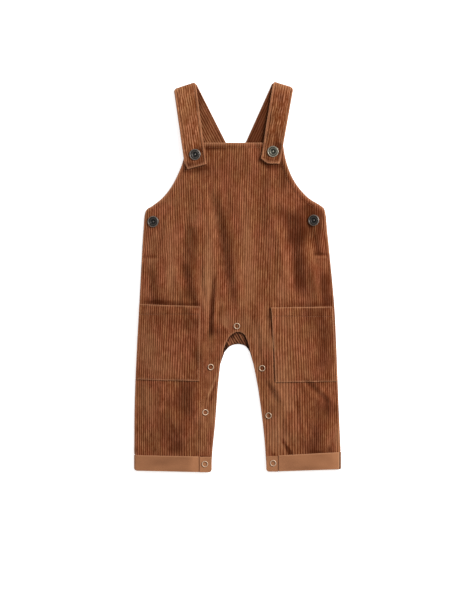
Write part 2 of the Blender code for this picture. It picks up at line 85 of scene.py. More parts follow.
edgeRow = namedtuple("edgeRow", "y left right")
foldRow = namedtuple("foldRow", "x0 y0 x1 y1 bow halfWidth height")
patchRow = namedtuple("patchRow", "x y across along strength")
lineRow = namedtuple("lineRow", "x0 y0 x1 y1 width strength")
leanRow = namedtuple("leanRow", "x top bottom across slope")
crinkleRow = namedtuple("crinkleRow", "side x ramp top topRamp bottom bottomRamp noise")
spot = namedtuple("spot", "node x y lean look")


def rowsOf(kind, *rows):
    return tuple(kind(*row) for row in rows)


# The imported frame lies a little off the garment's own
shift = Vector((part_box("cuff_left")[0].x + cuffCloth["outer"] * mm,
                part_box("front_panel")[1].y - panel["bibTop"] * mm, 0))
toFrame = Matrix.Translation(shift) @ Matrix.Scale(mm, 4)


def smooth(t):
    t = np.clip(t, 0.0, 1.0)
    return t * t * (3 - 2 * t)


def softNoise(x, y, sizeX, sizeY, seed):
    # Between -1 and 1, in soft lumps of about sizeX by sizeY
    count = 64
    grid = np.random.default_rng(seed).uniform(-1, 1, (count, count))
    u, v = x / sizeX + count * 8, y / sizeY + count * 8
    i, j = np.floor(u).astype(int), np.floor(v).astype(int)
    s, t = smooth(u - i), smooth(v - j)
    i, j, iNext, jNext = i % count, j % count, (i + 1) % count, (j + 1) % count
    near = grid[i, j] * (1 - s) + grid[iNext, j] * s
    far = grid[i, jNext] * (1 - s) + grid[iNext, jNext] * s
    return near * (1 - t) + far * t


# Soft unevenness: its amount, the size of its lumps across and along, and its seed
uneven = {
    "frontCloth": (0.35, 13, 46, 5), "seamPress": (0.35, 12, 12, 72),
    "waleDrift": (0.55, 38, 60, 11), "waleWobble": (0.16, 7, 14, 12),
    "rightCrinkle": (0.8, 9, 11, 13), "leftCrinkle": (0.9, 5, 8, 15),
    "nap": (0.09, 11, 24, 71), "napAndShadeStroke": (0.3, 7, 7, 73),
    "backCloth": (0.15, 14, 50, 21), "backNap": (0.2, 16, 40, 25),
    "backDrift": (0.5, 40, 60, 22), "backWobble": (0.12, 8, 14, 23), "facingWobble": (0.7, 6, 6, 31),
    "pocketPucker": (0.3, 9, 12, 41), "pocketCloud": (0.3, 16, 44, 42), "pocketPress": (0.4, 10, 10, 46),
    "pocketDrift": (0.4, 30, 40, 43), "pocketWobble": (0.2, 6, 10, 44),
    "strapWobble": (1.0, 7, 9, 51), "strapCrinkle": (0.12, 9, 9, 53), "strapNap": (0.07, 12, 20, 54),
    "cuffWave": (0.22, 15, 30, 61),
}


def unevenBy(name, x, y):
    amount, sizeX, sizeY, seed = uneven[name]
    return amount * softNoise(x, y, sizeX, sizeY, seed)


def curve(points, steps):
    # A smooth line through the points, each stretch in the given number of steps
    ends = [points[0], *points, points[-1]]
    line = []
    for a, b, c, d in zip(ends, ends[1:], ends[2:], ends[3:]):
        for i in range(steps):
            t = i / steps
            line.append(tuple(
                0.5 * (2 * q + (r - p) * t + (2 * p - 5 * q + 4 * r - s) * t ** 2
                       + (3 * q - p - 3 * r + s) * t ** 3)
                for p, q, r, s in zip(a, b, c, d)))
    return line + [tuple(points[-1])]


def edgeLines(rows, steps):
    return [curve([(getattr(row, side), row.y) for row in rows], steps) for side in ("left", "right")]


armholes = rowsOf(edgeRow,
    (192.7, -75.5, 65.0), (168.0, -78.0, 69.2), (145.2, -86.7, 77.3), (127.9, -96.2, 88.0),
    (113.0, -108.4, 102.2), (102.0, -122.4, 119.8),
)
sides = rowsOf(edgeRow,
    (93.3, -132.6, 126.0), (64.5, -135.6, 129.0), (30.0, -137.8, 132.6), (-39.2, -141.4, 139.0),
    (-98.2, -144.7, 142.0), (-177.4, -148.0, 145.0), (-244.0, -148.7, 147.9), (-250.4, -148.7, 147.8),
    (-252.4, -148.6, 147.2), (-254.6, -148.4, 147.2), (-256.4, -147.2, 147.2), (-259.0, -147.2, 147.2),
    (-264.0, -147.2, 147.2), (-275.5, -147.2, 147.2),
)
inseams = rowsOf(edgeRow,
    (-125.6, -24.8, 22.6), (-160.1, -28.5, 29.4), (-212.0, -32.3, 36.4), (-246.5, -35.9, 39.6),
    (-275.5, -37.6, 41.4),
)
backArmholes = rowsOf(edgeRow,
    (172.0, -38.6, 35.2), (150.0, -50.0, 46.0), (128.0, -68.0, 62.0), (108.0, -97.0, 90.0),
    (97.0, -124.0, 118.0),
)
frontArch = ((-21.3, -108.3), (-17.6, -97.0), (-11.4, -85.4), (-1.0, -79.2),
             (8.8, -82.2), (14.2, -93.0), (17.8, -106.0))
backArch = ((-18.7, -108.3), (-10.6, -99.8), (0.7, -96.8), (11.4, -99.9), (17.6, -108.3))


def panelOutline(holes, arch, steps):
    # Down the left side, round both hems and the crotch, and up the right side
    left, right = edgeLines(holes + sides, steps)
    innerLeft, innerRight = edgeLines(inseams, 2)
    return left + innerLeft[::-1] + curve(arch, 4) + innerRight + right[::-1]


frontOutline = panelOutline(armholes, frontArch, 4)
backOutline = panelOutline(backArmholes, backArch, 3)
armholeLines = edgeLines(armholes, 6)


def lineDistance(x, y, line, closed=False):
    nearest = np.full(np.shape(x), np.inf)
    ends = list(line[1:]) + (list(line[:1]) if closed else [])
    for (ax, ay), (bx, by) in zip(line, ends):
        dx, dy = bx - ax, by - ay
        t = np.clip(((x - ax) * dx + (y - ay) * dy) / (dx * dx + dy * dy), 0, 1)
        nearest = np.minimum(nearest, np.hypot(x - ax - t * dx, y - ay - t * dy))
    return nearest


def insideDistance(x, y, line):
    # How far inside the closed line a point lies, 0 outside it
    inside = np.zeros(np.shape(x), bool)
    for (ax, ay), (bx, by) in zip(line, line[1:] + line[:1]):
        if ay != by:
            inside ^= ((ay > y) != (by > y)) & (x < ax + (y - ay) * (bx - ax) / (by - ay))
    return np.where(inside, lineDistance(x, y, line, True), 0.0)


# Main folds of the front: a trough on the left of each line and a ridge on its right
foldReach = 2.24           # a fold dies out this many half widths from its line
folds = rowsOf(foldRow,
    (-37, 138, -4, -50, 4, 8.5, 3.8), (-64, 92, -73, -6, -2, 9.5, 3.4),
    (-75, 22, -58, -48, -1, 7.5, 2.6), (-33, 2, -39, -90, 0, 4.0, 3.2),
    (70, 108, 98, -34, 2, 11.0, 5.2), (86, 122, 104, 40, 3, 15.0, 3.6),
    (112, 104, 110, 46, 0, 8.0, 2.2), (126, 22, 129, -44, 0, 6.5, 2.2),
    (-124, 22, -123, -38, 0, 8.0, 2.0), (40, 130, 40, 58, 0, 8.0, 1.6),
    (44, 100, 46, -38, 3, 17.0, 2.2), (23, -30, 24, -70, 0, 6.0, 1.0), (45, -36, 46, -88, 0, 4.5, 1.6),
    (-64, 144, -66, 86, 0, 7.0, 1.0), (-70, -44, -69, -86, 0, 9.0, 1.8),
    (-64, -84, -58, -122, 0, 8.0, 1.2), (124, -44, 126, -146, 0, 9.0, 2.3),
    (-76, -146, -70, -212, 0, 11.0, 3.6), (-86, -198, -97, -264, 0, 11.0, 3.6),
    (-141, -150, -137, -204, 0, 6.0, 1.4), (-30, -146, -43, -192, 0, 3.6, 1.6),
    (40, -146, 61, -184, 2, 6.0, 2.0), (66, -198, 72, -234, 0, 6.0, 1.3),
    (64, -230, 77, -262, 0, 3.6, 2.1), (96, -144, 134, -182, 0, 6.0, 1.7),
    (131, -166, 133, -208, 0, 7.0, 2.6), (112, -210, 117, -264, 0, 9.0, 3.4),
)
# Smaller creases between them
creases = rowsOf(foldRow,
    (-104, 96, -112, 40, 2, 3.4, 0.6), (-88, 110, -84, 52, 0, 4.2, 0.5),
    (-18, 150, -12, 96, 0, 5.0, 0.4), (10, 128, 16, 60, 0, 4.0, 0.45), (54, 60, 60, -10, 2, 5.0, 0.6),
    (-50, 24, -47, -34, 0, 3.2, 0.7), (-90, 20, -92, -36, 0, 4.0, 0.6),
    (-20, -20, -26, -70, 0, 3.0, 0.6), (10, -20, 8, -62, 0, 3.0, 0.5), (30, -70, 34, -120, 0, 3.2, 0.7),
    (-36, -90, -40, -126, 0, 2.8, 0.6), (-112, -152, -116, -200, 0, 4.0, 0.7),
    (-52, -196, -56, -250, 0, 3.6, 0.7), (-124, -210, -122, -256, 0, 4.4, 0.6),
    (84, -160, 90, -214, 0, 4.2, 0.7), (96, -226, 92, -258, 0, 3.6, 0.6),
    (112, 62, 118, 30, 0, 2.8, 0.6), (104, 20, 110, -34, 0, 4.4, 0.7),
)
# The back's own, which lift it off the ground
backFolds = rowsOf(foldRow,
    (-70, 90, -58, -60, 4, 9.0, 0.7), (-14, 120, 2, -30, -3, 10.0, 0.6), (60, 96, 76, -40, 3, 9.0, 0.8),
    (-96, -90, -92, -220, 0, 9.0, 0.7), (-60, -130, -64, -236, 0, 7.0, 0.5),
    (70, -120, 82, -230, 3, 8.0, 0.7), (108, -80, 112, -190, 0, 7.0, 0.5),
)


def foldSum(x, y, rows):
    total = np.zeros(np.shape(x))
    peak = (1 - 1 / foldReach ** 2) ** 2
    for row in rows:
        t = (row.y0 - y) / (row.y0 - row.y1)
        line = row.x0 + (row.x1 - row.x0) * t + row.bow * 4 * t * (1 - t)
        across = (x - line) / row.halfWidth
        wave = across * np.maximum(0, 1 - (across / foldReach) ** 2) ** 2
        fade = np.where((t > 0) & (t < 1), 1 - (2 * t - 1) ** 4, 0)
        total += row.height * wave / peak * fade
    return total


def patchSum(x, y, rows):
    return sum(row.strength * np.exp(-((x - row.x) / row.across) ** 2 - ((y - row.y) / row.along) ** 2)
               for row in rows)


def lineSum(x, y, rows):
    return sum(row.strength * np.exp(-(lineDistance(x, y, [row[:2], row[2:4]]) / row.width) ** 2)
               for row in rows)


def groove(distance, width):
    # 1 on a line of stitching, 0 a width away
    return np.maximum(0, 1 - (distance / width) ** 2) ** 2


def cuffRise(y):
    ramp = np.clip((panel["cuffTop"] + panel["cuffRamp"] - y) / panel["cuffRamp"], 0, 1)
    return (cuffCloth["wall"] + cord["gap"]) * ramp


def support(x, y):
    # What the front panel's underside rests on
    cx, cy = facing["centre"]
    fade = (facing["supportEnd"] - np.hypot(x - cx, y - cy)) / (facing["supportEnd"] - facing["support"])
    bib = smooth((y - panel["bibFlat"] + panel["bibRamp"]) / panel["bibRamp"])
    level = cord["wall"] + cord["gap"] + cuffRise(y) + panel["bibSupport"] * bib
    return level + (facing["wall"] + cord["waleHeight"] + cord["gap"]) * smooth(fade)


def frontUnder(x, y):
    roll = smooth(insideDistance(x, y, frontOutline) / panel["loftReach"])
    flat = smooth((panel["bibFlat"] - y) / panel["bibRamp"])
    flat = flat * smooth((y - panel["cuffTop"]) / panel["legFlatRamp"])
    relief = foldSum(x, y, folds) + foldSum(x, y, creases) + unevenBy("frontCloth", x, y)
    return support(x, y) + np.maximum(0, panel["loft"] * roll + relief * np.minimum(1, 2 * roll)) * flat


placketLines = (           # each with the side on which its cloth is thicker
    (1, [(-50.0, -120.0), (-52.0, -160.0), (-55.0, -215.0), (-55.8, -256.0)]),
    (-1, [(50.5, -104.0), (52.5, -160.0), (56.0, -215.0), (58.6, -256.0)]),
)


def seamRelief(x, y):
    # Turned hems and lines of stitching along the edges: height, and how far the wales are pressed
    width, inset, below = panel["seamWidth"], panel["armholeStitch"], y < hemY
    height = panel["hemExtra"] * smooth((y - hemY) / panel["hemStep"])
    pressed = groove(y - hemY, width)
    for line in armholeLines:
        distance = lineDistance(x, y, line)
        height = height + panel["armholeRise"] * smooth((inset - distance) / width) * below
        pressed = np.maximum(pressed, groove(distance - inset, panel["armholeSeam"]) * below)
    roll = smooth((panel["rollFrom"] - distance) / panel["rollWidth"])
    height = height + panel["armholeRoll"] * roll * below
    for side, line in placketLines:
        distance = lineDistance(x, y, line)
        edge = np.interp(-y, [-point[1] for point in line], [point[0] for point in line])
        height = height + panel["placketRise"] * (np.sign(x - edge) == side) * smooth(distance / width)
        pressed = np.maximum(pressed, panel["placketPress"] * groove(distance, width))
    for spec in pockets:
        distance = lineDistance(x, y, [spec.outline[0], spec.outline[-1]]) - panel["mouthBeside"]
        height = height - panel["mouthDent"] * groove(distance, panel["mouthWidth"])
    pressed = pressed * (0.65 + unevenBy("seamPress", x, y))
    return height - cord["seamDepth"] * pressed, pressed


def frontOver(x, y):
    # The crests of the front panel's wales
    return frontUnder(x, y) + cord["wall"] + cord["waleHeight"] + seamRelief(x, y)[0]


# Going down, the wales lean to the left by the slope
leans = rowsOf(leanRow,
    (22, 200, -90, 70, 0.029), (-66, 140, 66, 30, -0.040), (-142, 78, 30, 46, -0.110),
    (140, 70, 31, 40, 0.150), (-120, 6, -146, 56, 0.050), (104, -20, -148, 46, -0.048),
    (130, -148, -280, 60, -0.028),
)
# They are crinkled to the right (1) or left (-1) of x, between top and bottom
crinkles = rowsOf(crinkleRow, (1, 92, 20, 92, 20, 24, 16, "rightCrinkle"),
                  (-1, -84, 16, 76, 14, 12, 16, "leftCrinkle"))


def leanOf(x, y):
    return sum(row.slope * np.clip(row.top - y, 0, row.top - row.bottom)
               * np.exp(-((x - row.x) / row.across) ** 2) for row in leans)


def waleLean(x, y):
    # How far the wales wander sideways from straight lines
    lean = leanOf(x, y) + unevenBy("waleDrift", x, y) + unevenBy("waleWobble", x, y)
    for row in crinkles:
        share = smooth(row.side * (x - row.x) / row.ramp) * smooth((row.top - y) / row.topRamp)
        lean = lean + share * smooth((y - row.bottom) / row.bottomRamp) * unevenBy(row.noise, x, y)
    return lean


def wale(place):
    # The wales' profile, from 0 in a groove to 1 on a crest
    phase = np.abs(place / cord["pitch"] - np.round(place / cord["pitch"])) * 2
    return 1 - phase ** cord["roundness"]


def lumpy(ribs, x, y, amount, seed):
    # Pile crushed here and there along each wale
    return ribs * (1 - amount * (0.5 + 0.5 * softNoise(x, y, *cord["lumpSize"], seed)))


def softEdge(distance):
    # How far a cut edge rolls down
    return cord["edgeDrop"] * np.clip(1 - distance / cord["edgeRound"], 0, 1) ** 2


def ribbed(crest, ribs, pressed, distance):
    # A wall's face, given the level of its wales' crests
    depth = (cord["waleHeight"] + cord["grooveExtra"]) * (1 - cord["pressed"] * pressed)
    return crest - depth * (1 - ribs) - softEdge(distance)


# Painted light and shade, with the pile brushed up (lighter) or down (darker): painted shade on the
# slopes of the folds, and patches of painted light and shade
napAndShadeShare = {"slope": 0.25, "down": -0.55, "up": 0.35, "armholes": (-0.15, -0.75), "armholeWidth": 1.7}
napAndShadePatches = rowsOf(patchRow,
    # the bib and the shoulders
    (-108, 110, 14, 6, 0.35), (-86, 140, 6, 14, 0.30), (-81, 138, 5, 9, -0.24), (-80, 124, 7, 8, -0.30),
    (-70, 147, 6, 4, 0.40), (-56, 154, 16, 8, -0.30), (-54, 118, 14, 16, -0.22),
    (-42, 186, 4, 12, -0.28), (-42, 150, 8, 8, -0.20), (-40, 188, 26, 5, -0.30),
    (-22, 196, 6, 5, -0.30), (-20, 118, 12, 12, -0.14), (-14, 168, 8, 8, -0.14),
    (-10, 158, 60, 26, -0.17), (-8, 188, 14, 5, -0.18), (8, 122, 6, 18, 0.32), (14, 142, 8, 14, -0.20),
    (20, 184, 6, 6, 0.32), (20, 116, 5, 16, -0.18), (28, 191, 4, 6, -0.40), (28, 136, 5, 8, 0.25),
    (40, 134, 6, 14, -0.22), (42, 132, 8, 10, -0.15), (46, 128, 20, 26, -0.20), (58, 124, 4, 7, 0.30),
    (66, 134, 9, 20, -0.50), (68, 146, 5, 8, -0.20), (74, 140, 4, 12, 0.30),
    # from the waist to the pockets
    (-138, 14, 3, 10, -0.35), (-137, 13, 3, 8, -0.30), (-136, 54, 5, 8, 0.30), (-131, 68, 5, 5, -0.25),
    (-128, -24, 12, 10, 0.22), (-122, 84, 5, 4, 0.45), (-122, 46, 11, 22, 0.28),
    (-122, 14, 6, 14, 0.42), (-112, 4, 8, 20, -0.22), (-112, -18, 10, 8, -0.20),
    (-112, -34, 14, 7, -0.50), (-108, 64, 6, 8, 0.32), (-98, 40, 9, 30, 0.42), (-95, -2, 6, 22, 0.66),
    (-94, -30, 8, 6, 0.30), (-88, 108, 12, 8, 0.34), (-84, 6, 4, 16, -0.20), (-84, -39, 6, 5, -0.30),
    (-76, 72, 8, 10, -0.18), (-76, 6, 3, 12, 0.20), (-76, -34, 4, 4, 0.35), (-75, -28, 8, 14, -0.62),
    (-66, 85, 9, 8, 0.45), (-62, 82, 10, 9, 0.20), (-62, 74, 7, 8, 0.18), (-62, 10, 6, 14, -0.30),
    (-60, 44, 7, 26, -0.46), (-58, -28, 5, 8, -0.24), (-45, 80, 5, 6, 0.22), (-44, -16, 9, 32, 0.85),
    (-40, 36, 7, 30, 0.66), (-30, 84, 8, 14, 0.30), (-25, 52, 4, 8, -0.20), (-24, 24, 5, 18, -0.48),
    (-24, -14, 5, 14, -0.26), (-13, 12, 4, 10, -0.15), (-12, 94, 6, 18, -0.62), (-7, 58, 5, 20, -0.56),
    (-6, -4, 6, 14, 0.48), (-1, 28, 5, 20, -0.46), (4, -36, 7, 7, 0.28), (7, -12, 5, 12, -0.30),
    (13, 62, 8, 24, 0.62), (14, 6, 10, 26, 0.62), (20, -26, 9, 12, 0.30), (30, 62, 16, 8, -0.16),
    (33, -34, 4, 12, -0.30), (46, 52, 9, 16, 0.32), (57, 76, 7, 7, -0.40), (62, 94, 16, 10, -0.44),
    (64, -16, 8, 26, 0.24), (64, -24, 6, 8, 0.28), (66, 4, 7, 8, 0.20), (74, 98, 6, 8, 0.22),
    (74, 82, 8, 10, -0.22), (75, 42, 5, 8, 0.22), (76, 56, 8, 15, -0.75), (84, 0, 6, 22, -0.60),
    (88, -14, 6, 10, -0.28), (90, 48, 8, 8, -0.35), (95, 62, 8, 12, -1.05), (96, 84, 22, 13, -0.72),
    (100, 100, 8, 6, -0.25), (104, 100, 12, 7, -0.60), (106, 6, 9, 20, -0.26), (108, 99, 8, 4, 0.30),
    (108, 62, 5, 14, -0.15), (112, 92, 8, 5, -0.40), (114, 32, 9, 13, -0.42), (116, 16, 5, 8, 0.20),
    (117, 66, 5, 24, -0.95), (122, 98, 8, 5, 0.45), (122, -14, 15, 24, -0.64), (124, 84, 3, 14, 0.30),
    (125, 14, 5, 8, 0.35), (126, 22, 6, 8, 0.35), (127, 66, 3, 20, 0.25), (130, -10, 3, 20, -0.16),
    (132, -34, 8, 9, -0.50),
    # the pockets and the crotch
    (-130, -104, 14, 32, 0.62), (-128, -50, 10, 6, 0.25), (-122, -154, 8, 9, -0.18),
    (-112, -130, 14, 10, 0.30), (-104, -44, 12, 6, -0.20), (-100, -132, 12, 12, 0.18),
    (-98, -112, 6, 8, -0.20), (-92, -64, 22, 12, -0.34), (-82, -76, 8, 10, -0.20),
    (-76, -100, 6, 8, -0.22), (-72, -48, 7, 5, -0.40), (-72, -80, 8, 4, 0.30), (-60, -64, 9, 6, -0.22),
    (-60, -100, 7, 6, 0.20), (-58, -112, 6, 14, -0.16), (-57, -68, 7, 12, -0.36),
    (-57, -118, 6, 10, -0.20), (-54, -112, 4, 14, -0.22), (-48, -42, 3, 10, 0.25),
    (-40, -88, 7, 6, -0.26), (-38, -102, 5, 10, 0.35), (-34, -72, 7, 8, -0.25),
    (-33, -79, 13, 6, -0.60), (-28, -120, 5, 6, -0.30), (-17, -64, 10, 10, 0.80),
    (11, -66, 9, 10, 0.55), (22, -90, 4, 7, 0.25), (29, -132, 5, 16, 0.80), (31, -82, 10, 18, 0.80),
    (31, -101, 6, 8, 0.50), (37, -66, 4, 16, -0.28), (38, -122, 5, 10, -0.20), (42, -58, 6, 12, 0.40),
    (48, -94, 6, 12, 0.50), (68, -132, 16, 24, 0.46), (70, -66, 14, 12, 0.42), (97, -140, 5, 9, 0.40),
    (103, -50, 12, 14, -0.46), (106, -82, 10, 8, -0.15), (114, -70, 12, 20, -0.46),
    (114, -118, 8, 24, -0.32), (114, -152, 12, 10, -0.50), (118, -126, 9, 6, -0.25),
    (123, -46, 10, 8, -0.24), (132, -84, 10, 30, -0.55), (132, -116, 8, 22, -0.30),
    (142, -146, 4, 5, 0.50),
    # the legs
    (-148, -250, 3, 5, -1.20), (-136, -160, 7, 7, 0.35), (-130, -180, 12, 24, 0.60),
    (-120, -249, 6, 6, -0.34), (-108, -218, 9, 20, -0.60), (-100, -190, 8, 8, 0.14),
    (-96, -246, 6, 5, -0.25), (-92, -250, 8, 5, -0.30), (-90, -178, 16, 18, -0.54),
    (-84, -244, 9, 12, -0.62), (-80, -221, 6, 6, -0.35), (-76, -214, 6, 9, -0.26),
    (-64, -158, 10, 16, -0.48), (-64, -190, 5, 8, -0.25), (-52, -206, 6, 20, 0.34),
    (-50, -246, 10, 8, 0.34), (-36, -206, 4, 14, 0.45), (-33, -180, 6, 44, 0.45),
    (40, -202, 5, 10, 0.45), (54, -168, 14, 30, 0.52), (54, -228, 14, 24, 0.90),
    (70, -232, 5, 12, 0.45), (72, -182, 8, 20, 0.55), (75, -211, 5, 7, -0.22), (76, -207, 4, 12, -0.34),
    (76, -254, 5, 4, -0.30), (84, -236, 5, 8, 0.35), (92, -160, 6, 12, -0.35), (106, -234, 8, 6, -0.22),
    (109, -246, 13, 11, -0.70), (112, -252, 12, 3, -0.35), (122, -188, 13, 17, -0.74),
    (122, -214, 8, 14, -0.50), (130, -226, 7, 7, -0.30), (132, -251, 5, 3, -0.30),
    (133, -247, 5, 6, -0.60), (134, -200, 6, 7, 0.20), (140, -192, 6, 10, -0.55),
    (144, -234, 5, 14, 0.80),
)
# Lines of painted shade and light
napAndShadeLines = rowsOf(lineRow,
    # painted shadow under the bib's hem
    (-45, 184.5, -19, 184.5, 2.0, -0.80), (-19, 184.5, 30, 184.5, 1.6, -0.25),
    # painted shadows under the straps' ends
    (-77, 152, -70, 150, 4.0, -0.60), (-70, 150, -44, 157, 3.0, -0.55), (31, 191, 31, 166, 4.0, -0.58),
    (34, 164, 44, 158, 3.4, -0.60), (44, 158, 62, 158, 4.4, -0.65),
    # painted shade above the pockets' mouths
    (-133, -36.6, -90, -37.8, 2.2, -1.00), (-84, -38.4, -56, -39.6, 2.0, -0.80),
    (52, -41.6, 134, -40.4, 1.5, -0.40),
    # painted shadow beside the right pocket
    (46.4, -46, 47.6, -60, 1.9, -0.95), (48.0, -62, 49.6, -84, 1.3, -0.50),
    # the ends of the side openings
    (-138, 27.6, -117, 27.2, 2.0, -0.95), (112, 33.4, 126, 31.8, 2.2, -0.75),
    # painted shade in a crease beside the crotch, and painted light beside it
    (-24, -68, -14.5, -80, 1.3, -0.60), (-21, -66, -11, -78, 1.4, 0.40),
    (-20.5, -100, -10, -84, 1.2, 0.50),
    # a painted highlight on the bib beside the right strap
    (26.5, 190, 26.5, 158, 1.2, 0.35),
    # under the ends of the side openings
    (-137.5, 23.8, -116, 23.4, 1.7, 1.60), (112, 29.2, 127, 28.0, 1.2, 1.10),
    # painted shade and light inside the right side's rim
    (121.5, 92, 128.5, 32, 1.3, -0.55), (124.5, 96, 130.5, 34, 1.1, 0.90),
    (129, 30, 133, 8, 1.0, -0.70),
    # painted light down the right leg's outer edge and painted shade down the left's
    (145.4, -206, 147.4, -250, 1.5, 1.00), (-148.2, -236, -148.4, -256, 1.2, -0.80),
    # painted light and shade along the overlap's edge down the left inseam
    (-29.6, -140.0, -36.1, -157.7, 1.2, 1.70), (-36.1, -157.7, -41.5, -168.5, 1.2, 1.70),
    (-41.5, -168.5, -44.6, -187.0, 1.0, 1.00), (-43.8, -168.0, -46.6, -187.0, 1.0, -0.90),
    (-32.4, -152.0, -38.2, -178.0, 2.0, -1.00),
    # painted shade in the crease over the right cuff, and painted light on its lit side
    (65.5, -236, 76.5, -256, 2.4, -1.10), (70.5, -245, 77.5, -258, 3.0, -0.80),
    (60.5, -236, 70.5, -254, 2.2, 0.50),
    # painted shadows at the ends of the cuffs' mouths
    (45.5, -253.4, 55.0, -257.0, 0.9, -1.00), (-59.0, -256.4, -50.0, -259.4, 1.0, -0.90),
    (-50.0, -259.4, -38.5, -257.6, 0.9, -0.60), (106.0, -252.6, 122.0, -251.8, 1.0, -0.50),
)


def napAndShadeOf(x, y):
    # Painted shade: darker where a fold rises to the right, away from the light, and lighter where it
    # falls towards it
    slope = (frontUnder(x + 1, y) - frontUnder(x - 1, y)) / 2
    vary = 0.8 + unevenBy("napAndShadeStroke", x, y)
    nap = np.clip(-slope * napAndShadeShare["slope"], napAndShadeShare["down"], napAndShadeShare["up"])
    nap = nap + patchSum(x, y, napAndShadePatches) + vary * lineSum(x, y, napAndShadeLines)
    # painted shadow lines along the armholes' stitching
    for line, strength in zip(armholeLines, napAndShadeShare["armholes"]):
        distance = lineDistance(x, y, line) - panel["armholeStitch"]
        nap = nap + strength * vary * np.exp(-(distance / napAndShadeShare["armholeWidth"]) ** 2)
    return nap + unevenBy("nap", x, y)


def plainName(node):
    first, *others = node.split("_")
    return first + "".join(word.title() for word in others)


def linked(name, data):
    thing = bpy.data.objects.new(name, data)
    bpy.context.scene.collection.objects.link(thing)
    return thing


def meshOf(bm, name):
    mesh = bpy.data.meshes.new(name)
    bm.to_mesh(mesh)
    bm.free()
    return mesh


def framedPiece(bm, name, matrix=toFrame):
    # A smooth object from a bmesh, moved from millimetres into the frame
    bmesh.ops.transform(bm, matrix=matrix, verts=bm.verts[:])
    mesh = meshOf(bm, name)
    mesh.shade_smooth()
    return linked(name, mesh)


def settle(piece, material, slotName, *nodes):
    # Gives a finished piece its material and body, in place of its CAD nodes
    piece.data.materials.clear()
    piece.data.materials.append(material)
    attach(piece, "root")
    if nodes:
        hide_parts(*nodes)
    return piece


def flatPiece(outline):
    bm = bmesh.new()
    bm.faces.new([bm.verts.new((x, y, 0)) for x, y in outline])
    return bm


def cutLines(bm, faces, places, direction):
    # Cuts faces across a direction, halving them at each cut so that a fine mesh stays quick
    if not places or not faces:
        return
    half = len(places) // 2
    middle = places[half]
    verts = dict.fromkeys(vert for face in faces for vert in face.verts)
    edges = dict.fromkeys(edge for face in faces for edge in face.edges)
    found = bmesh.ops.bisect_plane(bm, geom=[*verts, *edges, *faces], dist=0.02,
                                   plane_co=(*(direction * middle), 0),
                                   plane_no=(*direction, 0))["geom"]
    cutFaces = [item for item in found if isinstance(item, bmesh.types.BMFace)]
    below = [f for f in cutFaces if f.calc_center_median().xy.dot(direction) < middle]
    above = [f for f in cutFaces if f.calc_center_median().xy.dot(direction) >= middle]
    cutLines(bm, below, places[:half], direction)
    cutLines(bm, above, places[half + 1:], direction)


def cutAll(bm, outline, step, direction, extra=(), offset=0.0):
    reaches = [Vector(point).dot(direction) - offset for point in outline]
    first, last = math.ceil(min(reaches) / step), math.floor(max(reaches) / step)
    places = [offset + i * step for i in range(first, last + 1)]
    low, high = min(reaches) + offset, max(reaches) + offset
    places += [place for place in extra if low < place < high]
    places = sorted(place for place in places if low + 0.05 < place < high - 0.05)
    kept = [place for i, place in enumerate(places) if i == 0 or place - places[i - 1] > 0.1]
    cutLines(bm, bm.faces[:], kept, direction)


def thicken(bm, plain):
    # Makes the sheet a closed wall with its upper points at z 1; a plain side, at z 0 or 1,
    # keeps few of its columns
    lower = set(bm.faces)
    for item in bmesh.ops.extrude_face_region(bm, geom=bm.faces[:])["geom"]:
        if isinstance(item, bmesh.types.BMVert):
            item.co.z = 1
    if plain is None:
        return
    column = cord["pitch"] / cord["columns"]
    spare = []
    for edge in bm.edges:
        a, b = edge.verts
        if a.co.z == plain and b.co.z == plain and abs(a.co.x - b.co.x) < 0.01:
            place = a.co.x / column
            onColumn = abs(place - round(place)) < 0.02 and round(place) % (2 * cord["columns"])
            if onColumn and all((face in lower) == (plain == 0) for face in edge.link_faces):
                spare.append(edge)
    bmesh.ops.dissolve_edges(bm, edges=spare, use_verts=True)


def corduroyPiece(name, outline, rowStep, shape, extra=(), plain=None,
                  along=Vector((0, 1)), across=Vector((1, 0)), middle=0.0):
    # A wall cut finely across its wales, its points moved by shape(x, y, isUpper),
    # which gives their x, y and z, their rib, their wear with painted edge light, and their nap with
    # painted light and shade
    bm = flatPiece(outline)
    cutAll(bm, outline, rowStep, along, extra)
    cutAll(bm, outline, cord["pitch"] / cord["columns"], across, offset=middle)
    thicken(bm, plain)
    bmesh.ops.recalc_face_normals(bm, faces=bm.faces[:])
    mesh = meshOf(bm, name)
    count = len(mesh.vertices)
    places = np.empty(count * 3)
    mesh.vertices.foreach_get("co", places)
    places = places.reshape(-1, 3)
    x, y, z, *values = shape(places[:, 0], places[:, 1], places[:, 2] > 0.5)
    moved = np.stack([x, y, z], axis=1) * mm + np.array(shift)
    mesh.vertices.foreach_set("co", moved.ravel())
    for label, value in zip(("rib", "wear", "nap"), values):
        layer = mesh.attributes.new(label, "FLOAT", "POINT")
        layer.data.foreach_set("value", np.broadcast_to(value, count).astype(np.float32))
    mesh.update()
    mesh.shade_smooth()
    mesh.set_sharp_from_angle(angle=math.radians(60))
    return linked(name, mesh)


